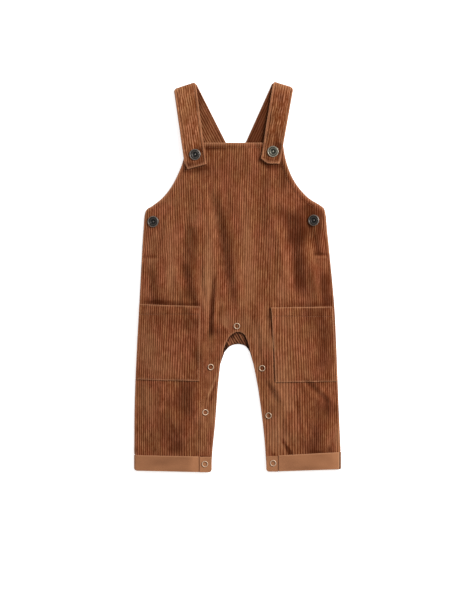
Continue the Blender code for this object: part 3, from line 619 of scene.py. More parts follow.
class Shade:
    # A socket in a node tree; sums and products of these add Math nodes
    def __init__(self, tree, socket=None):
        self.tree = tree
        self.socket = socket

    def node(self, kind, settings={}, sockets={}, output=0):
        made = self.tree.nodes.new(kind)
        for name, value in settings.items():
            setattr(made, name, value)
        for name, value in sockets.items():
            if isinstance(value, Shade):
                self.tree.links.new(value.socket, made.inputs[name])
            else:
                made.inputs[name].default_value = value
        return Shade(self.tree, made.outputs[output])

    def maths(self, operation, a, b=0.0):
        return self.node("ShaderNodeMath", {"operation": operation}, {0: a, 1: b})

    def between(self, low, high):
        return self.maths("MINIMUM", self.maths("MAXIMUM", self, low), high)

    def mix(self, share, a, b):
        a = (*a, 1) if isinstance(a, tuple) else a
        b = (*b, 1) if isinstance(b, tuple) else b
        return self.node("ShaderNodeMix", {"data_type": "RGBA"}, {0: share, 6: a, 7: b}, 2)

    def place(self):
        return self.node("ShaderNodeTexCoord", output="Object")

    def values(self, *labels):
        # What is stored on the mesh's points
        return [self.node("ShaderNodeAttribute", {"attribute_name": label}, output="Fac")
                for label in labels]

    def noise(self, place, scale, detail=2.0, stretch=(1, 1, 1)):
        placed = self.node("ShaderNodeMapping", {}, {"Vector": place, "Scale": stretch})
        return self.node("ShaderNodeTexNoise", {}, {"Vector": placed, "Scale": scale, "Detail": detail})

    def bump(self, height, strength, distance):
        sockets = {"Height": height, "Strength": strength, "Distance": distance}
        return self.node("ShaderNodeBump", {}, sockets)

    def __add__(self, other): return self.maths("ADD", self, other)
    def __radd__(self, other): return self.maths("ADD", other, self)
    def __sub__(self, other): return self.maths("SUBTRACT", self, other)
    def __rsub__(self, other): return self.maths("SUBTRACT", other, self)
    def __mul__(self, other): return self.maths("MULTIPLY", self, other)
    def __rmul__(self, other): return self.maths("MULTIPLY", other, self)
    def __pow__(self, other): return self.maths("POWER", self, other)


def newMaterial(name, constants):
    material = bpy.data.materials.new(name)
    material.use_nodes = True
    tree = material.node_tree
    shader = tree.nodes["Principled BSDF"]
    for socket, value in constants.items():
        shader.inputs[socket].default_value = value
    return material, Shade(tree), shader


def feed(shade, shader, **values):
    for name, value in values.items():
        shade.tree.links.new(value.socket, shader.inputs[name.replace("_", " ")])


corduroyLook = {
    "groove": (0.086, 0.0125, 0.0008),
    # the crests' colours: the pile's own colour, made paler and greyer than the grooves' with painted
    # sheen
    "crestRed": (0.345, 0.124, 0.061),
    "crestTan": (0.312, 0.132, 0.056),
    # worn edges and painted edge highlight
    "worn": (0.430, 0.200, 0.105),
    # down: painted shade colour, up: painted light colour, mixed in by the nap attribute
    "down": (0.048, 0.0088, 0.0016),
    "up": (0.330, 0.150, 0.070),
    "sheenTint": (1.0, 0.70, 0.50, 1),
    "sheen": 0.02,
    "base": 0.10,
    "contrast": (1.00, 1.60),     # of the wales, least and most
    "crest": 3.2,                 # higher makes the light line on a wale narrower
    "pileSize": 2600.0,           # lumps in a metre
    "pile": 0.25,
    "streak": 0.40, "streakSize": (420, 60, 300),
    "patch": 0.20, "patchSize": 26.0,
    "speck": 0.55, "speckSize": (700, 260, 500),
    "brushedSize": (110, 60, 90),
    "hueSize": (60, 34, 60),
    "darkest": 0.84,              # share of the brushed-down and painted shade colour at most
    "bump": (0.5, 0.00025),       # strength and height in metres
}


def corduroyMaterial(name, look):
    look = {**corduroyLook, **look}
    material, shade, shader = newMaterial(name, {
        "Roughness": 0.95, "Specular IOR Level": 0.05, "Sheen Weight": look["sheen"],
        "Sheen Roughness": 0.45, "Sheen Tint": look["sheenTint"]})
    place = shade.place()
    rib, wear, nap = shade.values("rib", "wear", "nap")
    streak = shade.noise(place, 1.0, 2.0, look["streakSize"]) - 0.5
    patch = shade.noise(place, look["patchSize"], 3.0)
    brushed = shade.noise(place, 1.0, 1.0, look["brushedSize"])
    hue = shade.noise(place, 1.0, 1.0, look["hueSize"])
    speck = shade.noise(place, 1.0, 2.0, look["speckSize"]) - 0.5
    pile = shade.noise(place, look["pileSize"], 2.0, (1, 0.45, 1))
    low, high = look["contrast"]
    tone = look["base"] + rib ** look["crest"] * (low + (high - low) * brushed)
    tone = tone + streak * look["streak"] + (patch - 0.5) * look["patch"]
    tone = (tone + (pile - 0.5) * look["pile"] + speck * (0.4 + rib) * look["speck"]).between(0.0, 1.0)
    hue = (hue * 3.0 - 1.0).between(0.0, 1.0)
    colour = shade.mix(tone, look["groove"], shade.mix(hue, look["crestRed"], look["crestTan"]))
    # painted shade (down) and painted light (up) from the nap attribute
    colour = shade.mix((nap * -1.0).between(0.0, look["darkest"]), colour, look["down"])
    colour = shade.mix(shade.maths("MAXIMUM", nap, 0.0) * (0.4 + tone * 0.6), colour, look["up"])
    # wear and painted highlight along the edges
    colour = shade.mix(wear * (0.35 + patch * 0.7), colour, look["worn"])
    feed(shade, shader, Base_Color=colour, Normal=shade.bump(pile, *look["bump"]))
    return material


twillLook = {
    "dark": (0.200, 0.078, 0.033),
    "light": (0.360, 0.152, 0.068),
    # rim: painted highlight along the cuffs' edges
    "rim": (0.470, 0.225, 0.115),
    # seam: painted shade where the tab meets the band
    "seam": (0.130, 0.040, 0.015),
    "linePitch": 0.00062,   # of the weave's lines
    "lean": 1.7, "yarnSize": (2200, 900, 2200), "cloudSize": (22, 60, 22),
    "line": 0.14, "yarn": 0.45, "cloud": 1.3, "middle": 0.36, "bump": (0.35, 0.0001),
    "foldFrom": 144.2,      # on the right cuff a painted highlight lies on the band's fold from here
    "stripFrom": 146.1,     # and the leg's corduroy shows from here
    "stripTo": 147.7,
    "strip": (0.060, 0.026, 0.015),
}
# As on the corduroy, painted light and shade: where the cuffs are painted lighter and darker
twillLightAndShadePatches = rowsOf(patchRow,
    # the left cuff
    (-135, -264, 14, 8, 0.15), (-108, -268, 20, 10, -0.22), (-60, -268, 7, 16, 0.90),
    (-55, -268, 6, 8, 0.40), (-48, -268, 8, 12, 0.40),
    # the right cuff
    (50, -277, 9, 5, 0.15), (50.6, -267.8, 2.8, 2.8, -0.32), (72, -264, 14, 12, -0.28),
    (106, -268, 18, 12, -0.18), (138, -258, 9, 9, 0.20), (142, -262, 6, 12, 0.30),
    (143, -258, 6, 12, 0.30),
)


def twillMaterial(name, tone=0.0, strip=False):
    look = twillLook
    material, shade, shader = newMaterial(name, {
        "Roughness": 0.9, "Specular IOR Level": 0.25, "Sheen Weight": 0.1,
        "Sheen Roughness": 0.5, "Sheen Tint": (1.0, 0.85, 0.7, 1)})
    place = shade.place()
    axes = shade.node("ShaderNodeSeparateXYZ", {}, {"Vector": place})
    x, y, z = (Shade(shade.tree, axes.socket.node.outputs[i]) for i in range(3))
    rim, nap, seam = shade.values("rim", "nap", "seam")
    line = shade.maths("SINE", (x + z + y * look["lean"]) * (math.tau / look["linePitch"]))
    yarn = shade.noise(place, 1.0, 2.0, look["yarnSize"])
    cloud = shade.noise(place, 1.0, 1.0, look["cloudSize"])
    share = line * look["line"] + yarn * look["yarn"] + cloud * look["cloud"] + nap
    share = share + (tone - look["middle"])
    colour = shade.mix(share, look["dark"], look["light"])
    # painted highlight along the edges
    colour = shade.mix(rim ** 2 * 0.6, colour, look["rim"])
    if strip:
        fold, mask, end = (shade.maths("GREATER_THAN", x, look[edge] * mm + shift.x)
                           for edge in ("foldFrom", "stripFrom", "stripTo"))
        # painted highlight on the band's fold
        colour = shade.mix(fold * 0.6, colour, look["rim"])
        colour = shade.mix(mask - end * 0.8, colour, look["strip"])
    # painted shade where the tab meets the band
    colour = shade.mix(seam * 0.9, colour, look["seam"])
    feed(shade, shader, Base_Color=colour, Normal=shade.bump(line * 0.5 + yarn * 0.5, *look["bump"]))
    return material


metalLook = {
    "cloudSize": 620.0, "cloud": 0.5, "dulled": 0.2,      # how far clouds change tone and roughness
    "brushSize": 2400.0, "bump": (0.12, 0.00005),
}


def metalMaterial(name, dark, light, roughness, metallic=0.85):
    material, shade, shader = newMaterial(name, {"Metallic": metallic, "Specular IOR Level": 0.5})
    place = shade.place()
    (tone,) = shade.values("tone")
    cloud = shade.noise(place, metalLook["cloudSize"], 3.0) - 0.5
    brushed = shade.noise(place, metalLook["brushSize"], 2.0)
    colour = shade.mix((tone + cloud * metalLook["cloud"]).between(0.0, 1.0), dark, light)
    feed(shade, shader, Base_Color=colour, Roughness=roughness + cloud * metalLook["dulled"],
         Normal=shade.bump(brushed, *metalLook["bump"]))
    return material


def threadMaterial():
    material, shade, shader = newMaterial("thread", {
        "Roughness": 0.8, "Specular IOR Level": 0.3, "Sheen Weight": 0.15})
    fibre = shade.noise(shade.place(), 3000.0, 2.0)
    feed(shade, shader, Base_Color=shade.mix(fibre, (0.170, 0.062, 0.028), (0.330, 0.140, 0.066)))
    return material


print("materials")
corduroy = corduroyMaterial("corduroy", {})
strapCorduroy = corduroyMaterial("strapCorduroy", {
    # the straps' crests too carry painted sheen
    "crestRed": (0.450, 0.180, 0.090), "crestTan": (0.415, 0.188, 0.083),
    "groove": (0.108, 0.0200, 0.0022), "worn": (0.470, 0.225, 0.120), "speck": 0.95})
# A darker copy of the corduroy: painted shade on the facing, which lies low under the front's arch; its
# crests carry painted sheen as elsewhere
shadedFacingCorduroy = corduroyMaterial("shadedFacingCorduroy", {
    "crestRed": (0.225, 0.078, 0.040), "crestTan": (0.200, 0.080, 0.036),
    "groove": (0.030, 0.0060, 0.0010), "down": (0.014, 0.0042, 0.0018), "speck": 1.1})
twill = twillMaterial("twill")
tabTwill = twillMaterial("tabTwill", 0.12)
twillWithStrip = twillMaterial("twillWithStrip", 0.05, True)
thread = threadMaterial()
metals = {
    "dark": metalMaterial("gunmetal", (0.012, 0.012, 0.012), (0.210, 0.180, 0.155), 0.40),
    "pale": metalMaterial("paleMetal", (0.020, 0.022, 0.017), (0.460, 0.420, 0.330), 0.38),
    "snap": metalMaterial("snapMetal", (0.300, 0.190, 0.110), (0.640, 0.470, 0.330), 0.42, 0.45),
}


def frontShape(x, y, upper):
    relief, pressed = seamRelief(x, y)
    under = frontUnder(x, y)
    distance = lineDistance(x, y, frontOutline, True)
    ribs = lumpy(wale(x + waleLean(x, y)), x, y, cord["lumps"], 14)
    over = ribbed(under + cord["wall"] + cord["waleHeight"] + relief, ribs, pressed, distance)
    # wear and painted edge light: lighter along the panel's edges
    worn = np.where(y > panel["waist"], panel["wornAndLitBib"], panel["wornAndLitLegs"])
    wear = smooth(1 - distance / panel["wornAndLitWidth"]) * worn
    fresh = smooth((y - panel["waist"]) / panel["fadeRamp"])
    ribs = ribs * (cord["faded"] + (1 - cord["faded"]) * fresh)
    z = np.where(upper, over, under)
    return x, y, z, np.where(upper, ribs, cord["plain"]), np.where(upper, wear, 0), napAndShadeOf(x, y)


def backShape(x, y, upper):
    roll = smooth(lineDistance(x, y, backOutline, True) / panel["loftReach"])
    crease = np.maximum(0, foldSum(x, y, backFolds) + unevenBy("backCloth", x, y)) * roll
    crease = crease * smooth((y - panel["cuffTop"] - panel["cuffRamp"]) / 20)
    place = x + unevenBy("backDrift", x, y) + unevenBy("backWobble", x, y)
    ribs = lumpy(wale(place), x, y, 0.3, 24)
    level = cuffRise(y) + crease
    z = np.where(upper, level + cord["wall"], level + cord["waleHeight"] * (1 - ribs))
    return x, y, z, np.where(upper, cord["plain"], ribs), 0, unevenBy("backNap", x, y)


facing = {
    "width": 22.0, "spread": 1.25, "slant": 30.0, "wall": 1.2, "rowStep": 3.0,
    "centre": (0.0, -98.0), "support": 36.0, "supportEnd": 78.0,     # where it lifts the front panel
    "underArch": (-0.8, 1.8), "atSeam": (-0.5, 1.6),                 # painted shadow under the front's arch and a darker line along the seam: strength and width
}
# Lines painted darker and lighter on the facing: painted shade and light on its creases and ends
facingLines = rowsOf(lineRow,
    (0, -82, 5, -91.5, 1.1, -0.95), (10.5, -86, 14.6, -97, 2.6, -0.95),
    (-8.5, -90, -6, -85, 2.4, -0.50), (-15.5, -93, -9.5, -99.5, 1.6, 0.60),
    (-11.5, -88, -5.5, -96, 1.0, 0.65), (5, -85, 9, -91, 1.0, 0.40), (-4, -84, 2, -95, 1.0, 0.30),
    (-20, -109, -15, -99, 2.4, -0.75), (19, -109, 15, -99, 2.4, -0.65),
)


def crotchFacing():
    arch = curve(backArch, 4)
    top = [(x * facing["spread"], y + facing["width"]) for x, y in arch]
    outline = [(x, y + cord["gap"]) for x, y in arch] + top[::-1]
    angle = math.radians(facing["slant"])
    across = Vector((math.cos(angle), math.sin(angle)))
    along = Vector((-across.y, across.x))
    level = cord["wall"] + cord["gap"]

    def shape(x, y, upper):
        ribs = wale(x * across.x + y * across.y + unevenBy("facingWobble", x, y))
        edge = softEdge(lineDistance(x, y, outline, True)) * 0.6
        over = level + facing["wall"] + cord["waleHeight"] * ribs - edge
        # painted light and shade lines, then a painted shadow under the front's arch and a darker line
        # along the seam
        nap = lineSum(x, y, facingLines)
        for line, (strength, width) in ((frontArch, facing["underArch"]), (arch, facing["atSeam"])):
            nap = nap + strength * np.exp(-(lineDistance(x, y, line) / width) ** 2)
        return x, y, np.where(upper, over, level), np.where(upper, ribs, cord["plain"]), 0, nap

    return corduroyPiece("crotchFacing", outline, facing["rowStep"], shape, along=along, across=across)


pocketCloth = {"wall": 1.6, "hemStep": 1.2, "hemExtra": 0.8, "rowStep": 2.4, "stitchInset": 2.2,
               "seamWidth": 1.3, "hemSeam": 1.5, "puckerFrom": 16.0, "pucker": 14.0,
               "wornAndLitWidth": 1.9, "worn": 0.95, "stitchSink": 0.3,
               "mouthFrom": 22.0, "mouthRamp": 20.0,                      # down from the top
               "sideFrom": 12.0, "sideRamp": 10.0, "sideY": -62.0, "sideHalf": 26.0}
pocketSpec = namedtuple("pocketSpec", "node outline hemLine gape gapeSide")
pockets = (                # gape: the middle, height and reach of a mouth that stands off the panel
    pocketSpec("pocket_left",
               ((-141.4, -39.2), (-146.7, -147.3), (-55.0, -149.8), (-53.4, -42.5)),
               -54.0, (-112.0, 1.9, 22.0), 0.0),
    pocketSpec("pocket_right",
               ((47.8, -44.2), (51.0, -90.0), (54.4, -151.3), (143.3, -150.3), (136.2, -42.8)),
               -57.0, (84.0, 1.2, 30.0), 1.0),
)


def pocketHem(y, spec):
    return pocketCloth["hemExtra"] * smooth((y - spec.hemLine) / pocketCloth["hemStep"])


def pocketUnder(x, y, spec):
    # The pocket lies on the front panel, but for its mouth, which stands off it most at one place
    middle, height, reach = spec.gape
    top = max(point[1] for point in spec.outline)
    along = np.maximum(0, 1 - ((x - middle) / reach) ** 2)
    lift = height * along * smooth((y - top + pocketCloth["mouthFrom"]) / pocketCloth["mouthRamp"])
    if spec.gapeSide:
        near = min(point[0] for point in spec.outline) + pocketCloth["sideFrom"]
        side = smooth((near - x) / pocketCloth["sideRamp"])
        lift = lift + spec.gapeSide * side * groove(y - pocketCloth["sideY"], pocketCloth["sideHalf"])
    return frontOver(x, y) + cord["gap"] + lift


def pocketPiece(spec):
    outline, hem, step = spec.outline, spec.hemLine, pocketCloth["hemStep"]
    top, bottom = max(point[1] for point in outline), min(point[1] for point in outline)
    extra = [hem, hem + step, hem - step, top - 0.5, top - 1.0, bottom + 0.6, bottom + 1.2]

    def shape(x, y, upper):
        distance = lineDistance(x, y, outline, True)
        sewn = lineDistance(x, y, outline)        # the mouth isn't sewn down
        pressed = np.maximum(groove(sewn - pocketCloth["stitchInset"], pocketCloth["seamWidth"]),
                             groove(y - hem, pocketCloth["hemSeam"]))
        pressed = pressed * (0.6 + unevenBy("pocketPress", x, y))
        pucker = unevenBy("pocketPucker", x, y) * smooth(
            (pocketCloth["puckerFrom"] - sewn) / pocketCloth["pucker"])
        soft = np.maximum(-0.2, pucker + unevenBy("pocketCloud", x, y)) * smooth(distance / 4)
        under = pocketUnder(x, y, spec)
        place = x + leanOf(x, y) + unevenBy("pocketDrift", x, y) + unevenBy("pocketWobble", x, y)
        ribs = lumpy(wale(place), x, y, cord["lumps"], 45)
        crest = under + pocketCloth["wall"] + cord["waleHeight"] + pocketHem(y, spec) + soft
        over = ribbed(crest - cord["seamDepth"] * pressed, ribs, pressed, distance)
        # wear and painted edge light along the pocket's edges
        wear = smooth(1 - distance / pocketCloth["wornAndLitWidth"]) * pocketCloth["worn"]
        rib = np.where(upper, ribs * cord["faded"], cord["plain"])
        return x, y, np.where(upper, over, under), rib, np.where(upper, wear, 0), napAndShadeOf(x, y)

    return corduroyPiece(plainName(spec.node), outline, pocketCloth["rowStep"], shape, extra, plain=0)


print("panels")
hemCuts = [hemY, hemY - panel["hemStep"], hemY + panel["hemStep"],
           panel["bibTop"] - 0.5, panel["bibTop"] - 1.0]
front = corduroyPiece("frontPanel", frontOutline, panel["rowStep"], frontShape, hemCuts, plain=0)
settle(front, corduroy, "corduroy", "front_panel")
cuffCuts = [panel["cuffTop"], panel["cuffTop"] + panel["cuffRamp"]]
back = corduroyPiece("backPanel", backOutline, panel["backRowStep"], backShape, cuffCuts, plain=1)
settle(back, corduroy, "corduroy", "back_panel")
crotch = settle(crotchFacing(), shadedFacingCorduroy, "corduroy", "back_crotch_facing")
print("pockets")
pocketPieces = [settle(pocketPiece(spec), corduroy, "corduroy", spec.node) for spec in pockets]


strapCloth = {
    "wall": 2.2, "space": 1.4, "riseStart": 28.0, "riseEnd": 78.0, "bibSurface": 6.3,
    "corner": 4.4,         # radius of the shoulder's corners
    "cornerSteps": 8, "turnCuts": 12,
    "lift": 2.6, "liftLength": 12.0,
    "stitchInset": 3.6, "rowStep": 2.6, "seamWidth": 1.5, "crossWidth": 1.6, "crossPress": 0.6,
    "lumps": 0.22, "crinkleLumps": 0.33, "wobble": 0.2, "crinkleWobble": 0.5,
    "rim": 0.35, "rimStep": 1.2, "edge": 1.4, "worn": 0.6, "wornAndLitWidth": 4.0, "wornAndLitBehind": 1.6,
    "crinkleFrom": -4.0, "crinkleRamp": 10.0,      # from the fold down
    "turnedFlat": 0.7,     # how far the wales are flattened where the band turns over
    "turnedWale": 0.7,
}
strapSpec = namedtuple("strapSpec", "node width foldX foldY frontTilt backTilt "
                                    "end crossLine frontNap backNap")
# frontNap and backNap: painted shade on each strap's front and back parts; the back part is painted as in
# the front part's shadow
straps = (
    strapSpec("strap_left", 32.0, -76.7, 274.6, 8.8, 27.6,
              ((-76.5, 163.0), (-71.7, 154.2), (-44.6, 161.4)), 67.0, 0.0, -0.40),
    strapSpec("strap_right", 30.0, 66.1, 276.2, -9.2, -24.9,
              ((33.4, 169.5), (43.1, 162.3), (60.6, 162.3), (62.4, 171.5)), 75.0, -0.14, -0.85),
)
# Painted light and shade on the straps: painted shadows beside the buttons and under the straps' ends,
# and lighter patches
strapLightAndShadePatches = rowsOf(patchRow,
    # the left strap
    (-74, 276, 16, 7, 0.45), (-85, 262, 5, 10, 0.35), (-69, 253, 5, 6, -0.25), (-80, 240, 5, 6, -0.24),
    (-70, 232, 10, 9, 0.40), (-80, 206, 4, 22, 0.55), (-68, 206, 7, 12, -0.14), (-62, 200, 6, 6, -0.24),
    (-56, 193, 6, 5, 0.40), (-71, 188, 6, 8, -0.30), (-54, 181, 6, 8, -0.70), (-56, 180, 6, 4, -0.22),
    (-52, 168, 5, 8, -0.50), (-62, 168, 7, 5, 0.30), (-64, 163, 6, 3, -0.20), (-64, 160, 14, 9, -0.66),
    (-72, 160, 5, 6, -0.40),
    # the right strap
    (60, 274, 16, 8, 0.75), (48, 262, 4, 10, 0.50), (62, 260, 4, 6, -0.22), (63, 257, 4, 5, -0.30),
    (62, 240, 4, 5, -0.30), (48, 228, 6, 10, -0.28), (70, 226, 3, 22, 0.55), (46, 222, 7, 16, -0.20),
    (50, 211, 5, 5, 0.30), (57, 206, 6, 12, -0.34), (42, 204, 4, 5, -0.30), (44, 200, 5, 8, -0.30),
    (52, 190, 12, 4, -0.45), (56, 184, 4, 5, -0.40), (59, 182, 5, 8, -1.10), (42, 176, 4, 10, -0.60),
    (50, 167, 10, 4, -0.50),
)
# Painted shade on the back parts, under the straps' front parts
strapBackLightAndShadePatches = rowsOf(patchRow,
    (-56, 250, 6, 24, -0.45), (-46, 224, 5, 12, -0.30), (-30, 200, 8, 10, -0.35),
    (-30, 200, 6, 8, 0.20),
)


class StrapFrame:
    # Where a strap's folded band lies: it is cut out straight, then turned over at the shoulder
    def __init__(self, spec):
        wall, space = strapCloth["wall"], strapCloth["space"]
        self.spec = spec
        self.radius = (wall + space) / 2
        self.outer = self.radius + wall / 2
        self.turn = math.pi * self.radius
        front, backward = math.radians(spec.frontTilt), math.radians(spec.backTilt)
        self.down = Vector((math.sin(front), -math.cos(front)))
        self.backDown = Vector((math.sin(backward), -math.cos(backward)))
        self.normal = (self.down + self.backDown).normalized()
        self.side = Vector((-self.down.y, self.down.x))
        self.axis = Vector((spec.foldX, spec.foldY)) + self.normal * self.outer
        corners = [self.backCorner(sign) for sign in (1, -1)]
        self.middle = sum(corner.dot(self.side) for corner in corners) / 2
        ends = [Vector(point) for point in spec.end]
        self.end = max((point - self.axis).dot(self.normal) for point in ends)
        band = ends + self.shoulder(1) + corners + self.shoulder(-1)[::-1]
        self.outline = [tuple(point) for point in band]

    def turnEdge(self, sign):
        along = Vector((-self.normal.y, self.normal.x))
        return self.axis + self.side * sign * self.spec.width / 2 / self.side.dot(along)

    def backCorner(self, sign):
        edge = self.turnEdge(sign)
        point = edge + self.backDown * (edge.y - panel["backTop"] - cord["gap"]) / -self.backDown.y
        return point - self.normal * (2 * (point - self.axis).dot(self.normal) + self.turn)

    def shoulder(self, sign):
        # One side of the band past its turn, drawn in there so that the corner is round
        points = []
        corner, steps = strapCloth["corner"], strapCloth["cornerSteps"]
        edge = self.turnEdge(sign)
        for i in range(-steps, steps + 1):
            angle = math.pi / 2 * i / steps
            depth = corner * (1 - math.cos(angle))
            reach = depth - self.outer
            if reach < 0:
                reach = -self.radius * math.asin(1 - depth / self.outer)
            if i > 0:
                reach = -self.turn - reach
            out = (reach - (edge - self.axis).dot(self.normal)) / self.down.dot(self.normal)
            draw = corner * (1 - math.sin(abs(angle)))
            points.append(edge + self.down * out - self.side * sign * draw)
        return points

    def reach(self, x, y):
        return (x - self.axis.x) * self.normal.x + (y - self.axis.y) * self.normal.y

    def folded(self, x, y, wall):
        # The place of a point of the flat band, wall above its middle layer
        reach = self.reach(x, y)
        lineX, lineY = x - self.normal.x * reach, y - self.normal.y * reach
        bend = np.clip(-reach / self.radius, 0, math.pi)
        push = np.where(reach > 0, reach, np.where(reach < -self.turn, -reach - self.turn, 0))
        out = push - (self.radius + wall) * np.sin(bend)
        level = strapCloth["wall"] / 2 + self.radius + (self.radius + wall) * np.cos(bend)
        rise = strapCloth["bibSurface"] - strapCloth["wall"] - strapCloth["space"]
        length = strapCloth["riseEnd"] - strapCloth["riseStart"]
        level = level + rise * smooth((reach - strapCloth["riseStart"]) / length)
        start = self.end - strapCloth["liftLength"]
        level = level + strapCloth["lift"] * smooth((reach - start) / strapCloth["liftLength"])
        return lineX + self.normal.x * out, lineY + self.normal.y * out, level

    def relief(self, x, y):
        # The wales, crinkles and stitched edges of the band's face
        cloth = strapCloth
        reach = self.reach(x, y)
        distance = lineDistance(x, y, self.outline, True)
        pressed = groove(distance - cloth["stitchInset"], cloth["seamWidth"])
        cross = groove(reach - self.spec.crossLine, cloth["crossWidth"])
        pressed = np.maximum(pressed, cloth["crossPress"] * cross)
        crinkled = smooth((reach - cloth["crinkleFrom"]) / cloth["crinkleRamp"])
        across = x * self.side.x + y * self.side.y - self.middle
        wobble = cloth["wobble"] + cloth["crinkleWobble"] * crinkled
        across = across + wobble * unevenBy("strapWobble", x, y)
        ribs = lumpy(wale(across), x, y, cloth["lumps"] + cloth["crinkleLumps"] * crinkled, 52)
        height = cord["waleHeight"] * ribs * (1 - cord["pressed"] * pressed) - cord["seamDepth"] * pressed
        height = height + cloth["rim"] * smooth((cloth["stitchInset"] - distance) / cloth["rimStep"])
        height = height - cloth["edge"] * softEdge(distance) + crinkled * unevenBy("strapCrinkle", x, y)
        turning = cloth["turnedFlat"] * groove(reach + self.turn / 2, self.turn)
        height = height * (1 - turning) + turning * cord["waleHeight"] * cloth["turnedWale"]
        behind = reach < -self.turn / 2
        # wear and painted edge light along the strap's edges
        width = np.where(behind, cloth["wornAndLitBehind"], cloth["wornAndLitWidth"])
        wear = smooth(1 - distance / width) * cloth["worn"]
        # nap and painted light and shade on the front part; painted shadow on the part behind
        nap = self.spec.frontNap + unevenBy("strapNap", x, y) + patchSum(x, y, strapLightAndShadePatches)
        over = 2 * reach + self.turn
        behindNapAndShade = patchSum(x - self.normal.x * over, y - self.normal.y * over, strapBackLightAndShadePatches)
        return height, ribs, wear, np.where(behind, self.spec.backNap + behindNapAndShade, nap)


def strapPiece(spec, band):
    start, cuts = band.axis.dot(band.normal), strapCloth["turnCuts"]
    extra = [start - band.turn * i / cuts for i in range(cuts + 1)]
    extra += [start + band.end - 0.6, start + band.end - 1.2]

    def shape(x, y, upper):
        height, ribs, wear, nap = band.relief(x, y)
        # the face that lies down stays level, so that it rests on what is under it
        lying = upper != (band.reach(x, y) > -band.turn / 2)
        height = np.where(lying, np.minimum(0, height * 0.2 - 0.1), height)
        wall = strapCloth["wall"] / 2 + height
        return (*band.folded(x, y, np.where(upper, wall, -wall)), ribs, wear, nap)

    return corduroyPiece(plainName(spec.node), band.outline, strapCloth["rowStep"], shape, extra,
                         along=band.normal, across=band.side, middle=band.middle)


print("straps")
bands = [StrapFrame(spec) for spec in straps]
strapPieces = [settle(strapPiece(spec, band), strapCorduroy, "corduroy", spec.node)
               for spec, band in zip(straps, bands)]


cuffSpec = namedtuple("cuffSpec", "side inseam placket topIn topOut bottomIn bottomOut corner")
cuffs = (
    cuffSpec("left", -37.2, -55.3, -258.5, -256.2, -281.1, -278.6, 5.0),
    cuffSpec("right", 41.2, 58.5, -257.6, -251.8, -280.2, -276.6, 2.8),
)


def cuffEdges(spec, x):
    t = (abs(x) - abs(spec.inseam)) / (cuffCloth["outer"] - abs(spec.inseam))
    top = spec.topIn + (spec.topOut - spec.topIn) * t
    bottom = spec.bottomIn + (spec.bottomOut - spec.bottomIn) * t
    for corner, inside in ((spec.corner, cuffCloth["outer"] - abs(x)),
                           (cuffCloth["innerCorner"], abs(x) - abs(spec.inseam))):
        short = min(corner, max(0.0, corner - inside))
        bottom += corner - math.sqrt(corner ** 2 - short ** 2)
    return top, bottom


def cuffPath(spec):
    # The middle of the band's wall, from the inseam under the leg, round the side and back over it
    low = cuffCloth["wall"] / 2
    top = cuffCloth["height"] - low
    bend = (top - low) / 2
    inner, placket = abs(spec.inseam), abs(spec.placket)
    centre = cuffCloth["outer"] - low - bend
    start = inner + cuffCloth["innerCorner"]
    line = [(inner + cuffCloth["innerCorner"] * i / 6, low) for i in range(6)]
    steps = max(2, round((centre - start) / 4))
    line += [(start + (centre - start) * i / steps, low) for i in range(steps)]
    for i in range(13):
        angle = -math.pi / 2 + math.pi * i / 12
        line.append((centre + bend * math.cos(angle), low + bend + bend * math.sin(angle)))
    steps = max(2, round((centre - placket) / 4))
    line += [(centre + (placket - centre) * i / steps, top) for i in range(1, steps + 1)]
    line.insert(-1, (placket + 1.2, top))
    return line


def bandLayers(bm):
    return [bm.verts.layers.float.new(name) for name in ("rim", "seam", "nap")]


def walledPiece(bm, name):
    # A band's middle layer gets its wall, with round edges
    bmesh.ops.recalc_face_normals(bm, faces=bm.faces[:])
    piece = framedPiece(bm, name)
    wall = piece.modifiers.new("wall", "SOLIDIFY")
    wall.thickness = cuffCloth["wall"] * mm
    wall.offset = 0
    edges = piece.modifiers.new("edges", "BEVEL")
    edges.width = cuffCloth["edge"] * mm
    edges.segments = 3
    edges.limit_method = "ANGLE"
    edges.angle_limit = math.radians(50)
    return piece


def cuffPiece(spec):
    sign, rows, rim = math.copysign(1, spec.inseam), cuffCloth["rows"], cuffCloth["rim"]
    bm = bmesh.new()
    verts = [bm.verts.new((sign * x, 0, z)) for x, z in cuffPath(spec)]
    last = [bm.edges.new(pair) for pair in zip(verts, verts[1:])]
    for row in range(rows):
        found = bmesh.ops.extrude_edge_only(bm, edges=last)["geom"]
        last = [item for item in found if isinstance(item, bmesh.types.BMEdge)
                and all(abs(v.co.y - row) < 0.01 for v in item.verts)]
        for vert in dict.fromkeys(vert for edge in last for vert in edge.verts):
            vert.co.y = row + 1
    rimHighlightLayer, seamShadeLayer, napLayer = bandLayers(bm)
    for vert in bm.verts:
        x, t, z = vert.co.x, vert.co.y / rows, vert.co.z
        # painted highlight along the band's top and bottom edges
        vert[rimHighlightLayer] = float(t < 0.01 or t > 0.99)
        # painted shade at the band's end by the tab
        vert[seamShadeLayer] = float(abs(abs(x) - abs(spec.placket)) < 0.01 and z > 3)
        top, bottom = cuffEdges(spec, x)
        y = bottom + (top - bottom) * t
        vert[napLayer] = float(patchSum(x, y, twillLightAndShadePatches))
        if z > cuffCloth["height"] / 2:
            wave = float(unevenBy("cuffWave", np.array(x), np.array(y)))
            z += min(0, wave + rim * math.sin(math.pi * t) - rim)
        vert.co = (x, y, z)
    return walledPiece(bm, "cuff" + spec.side.title())


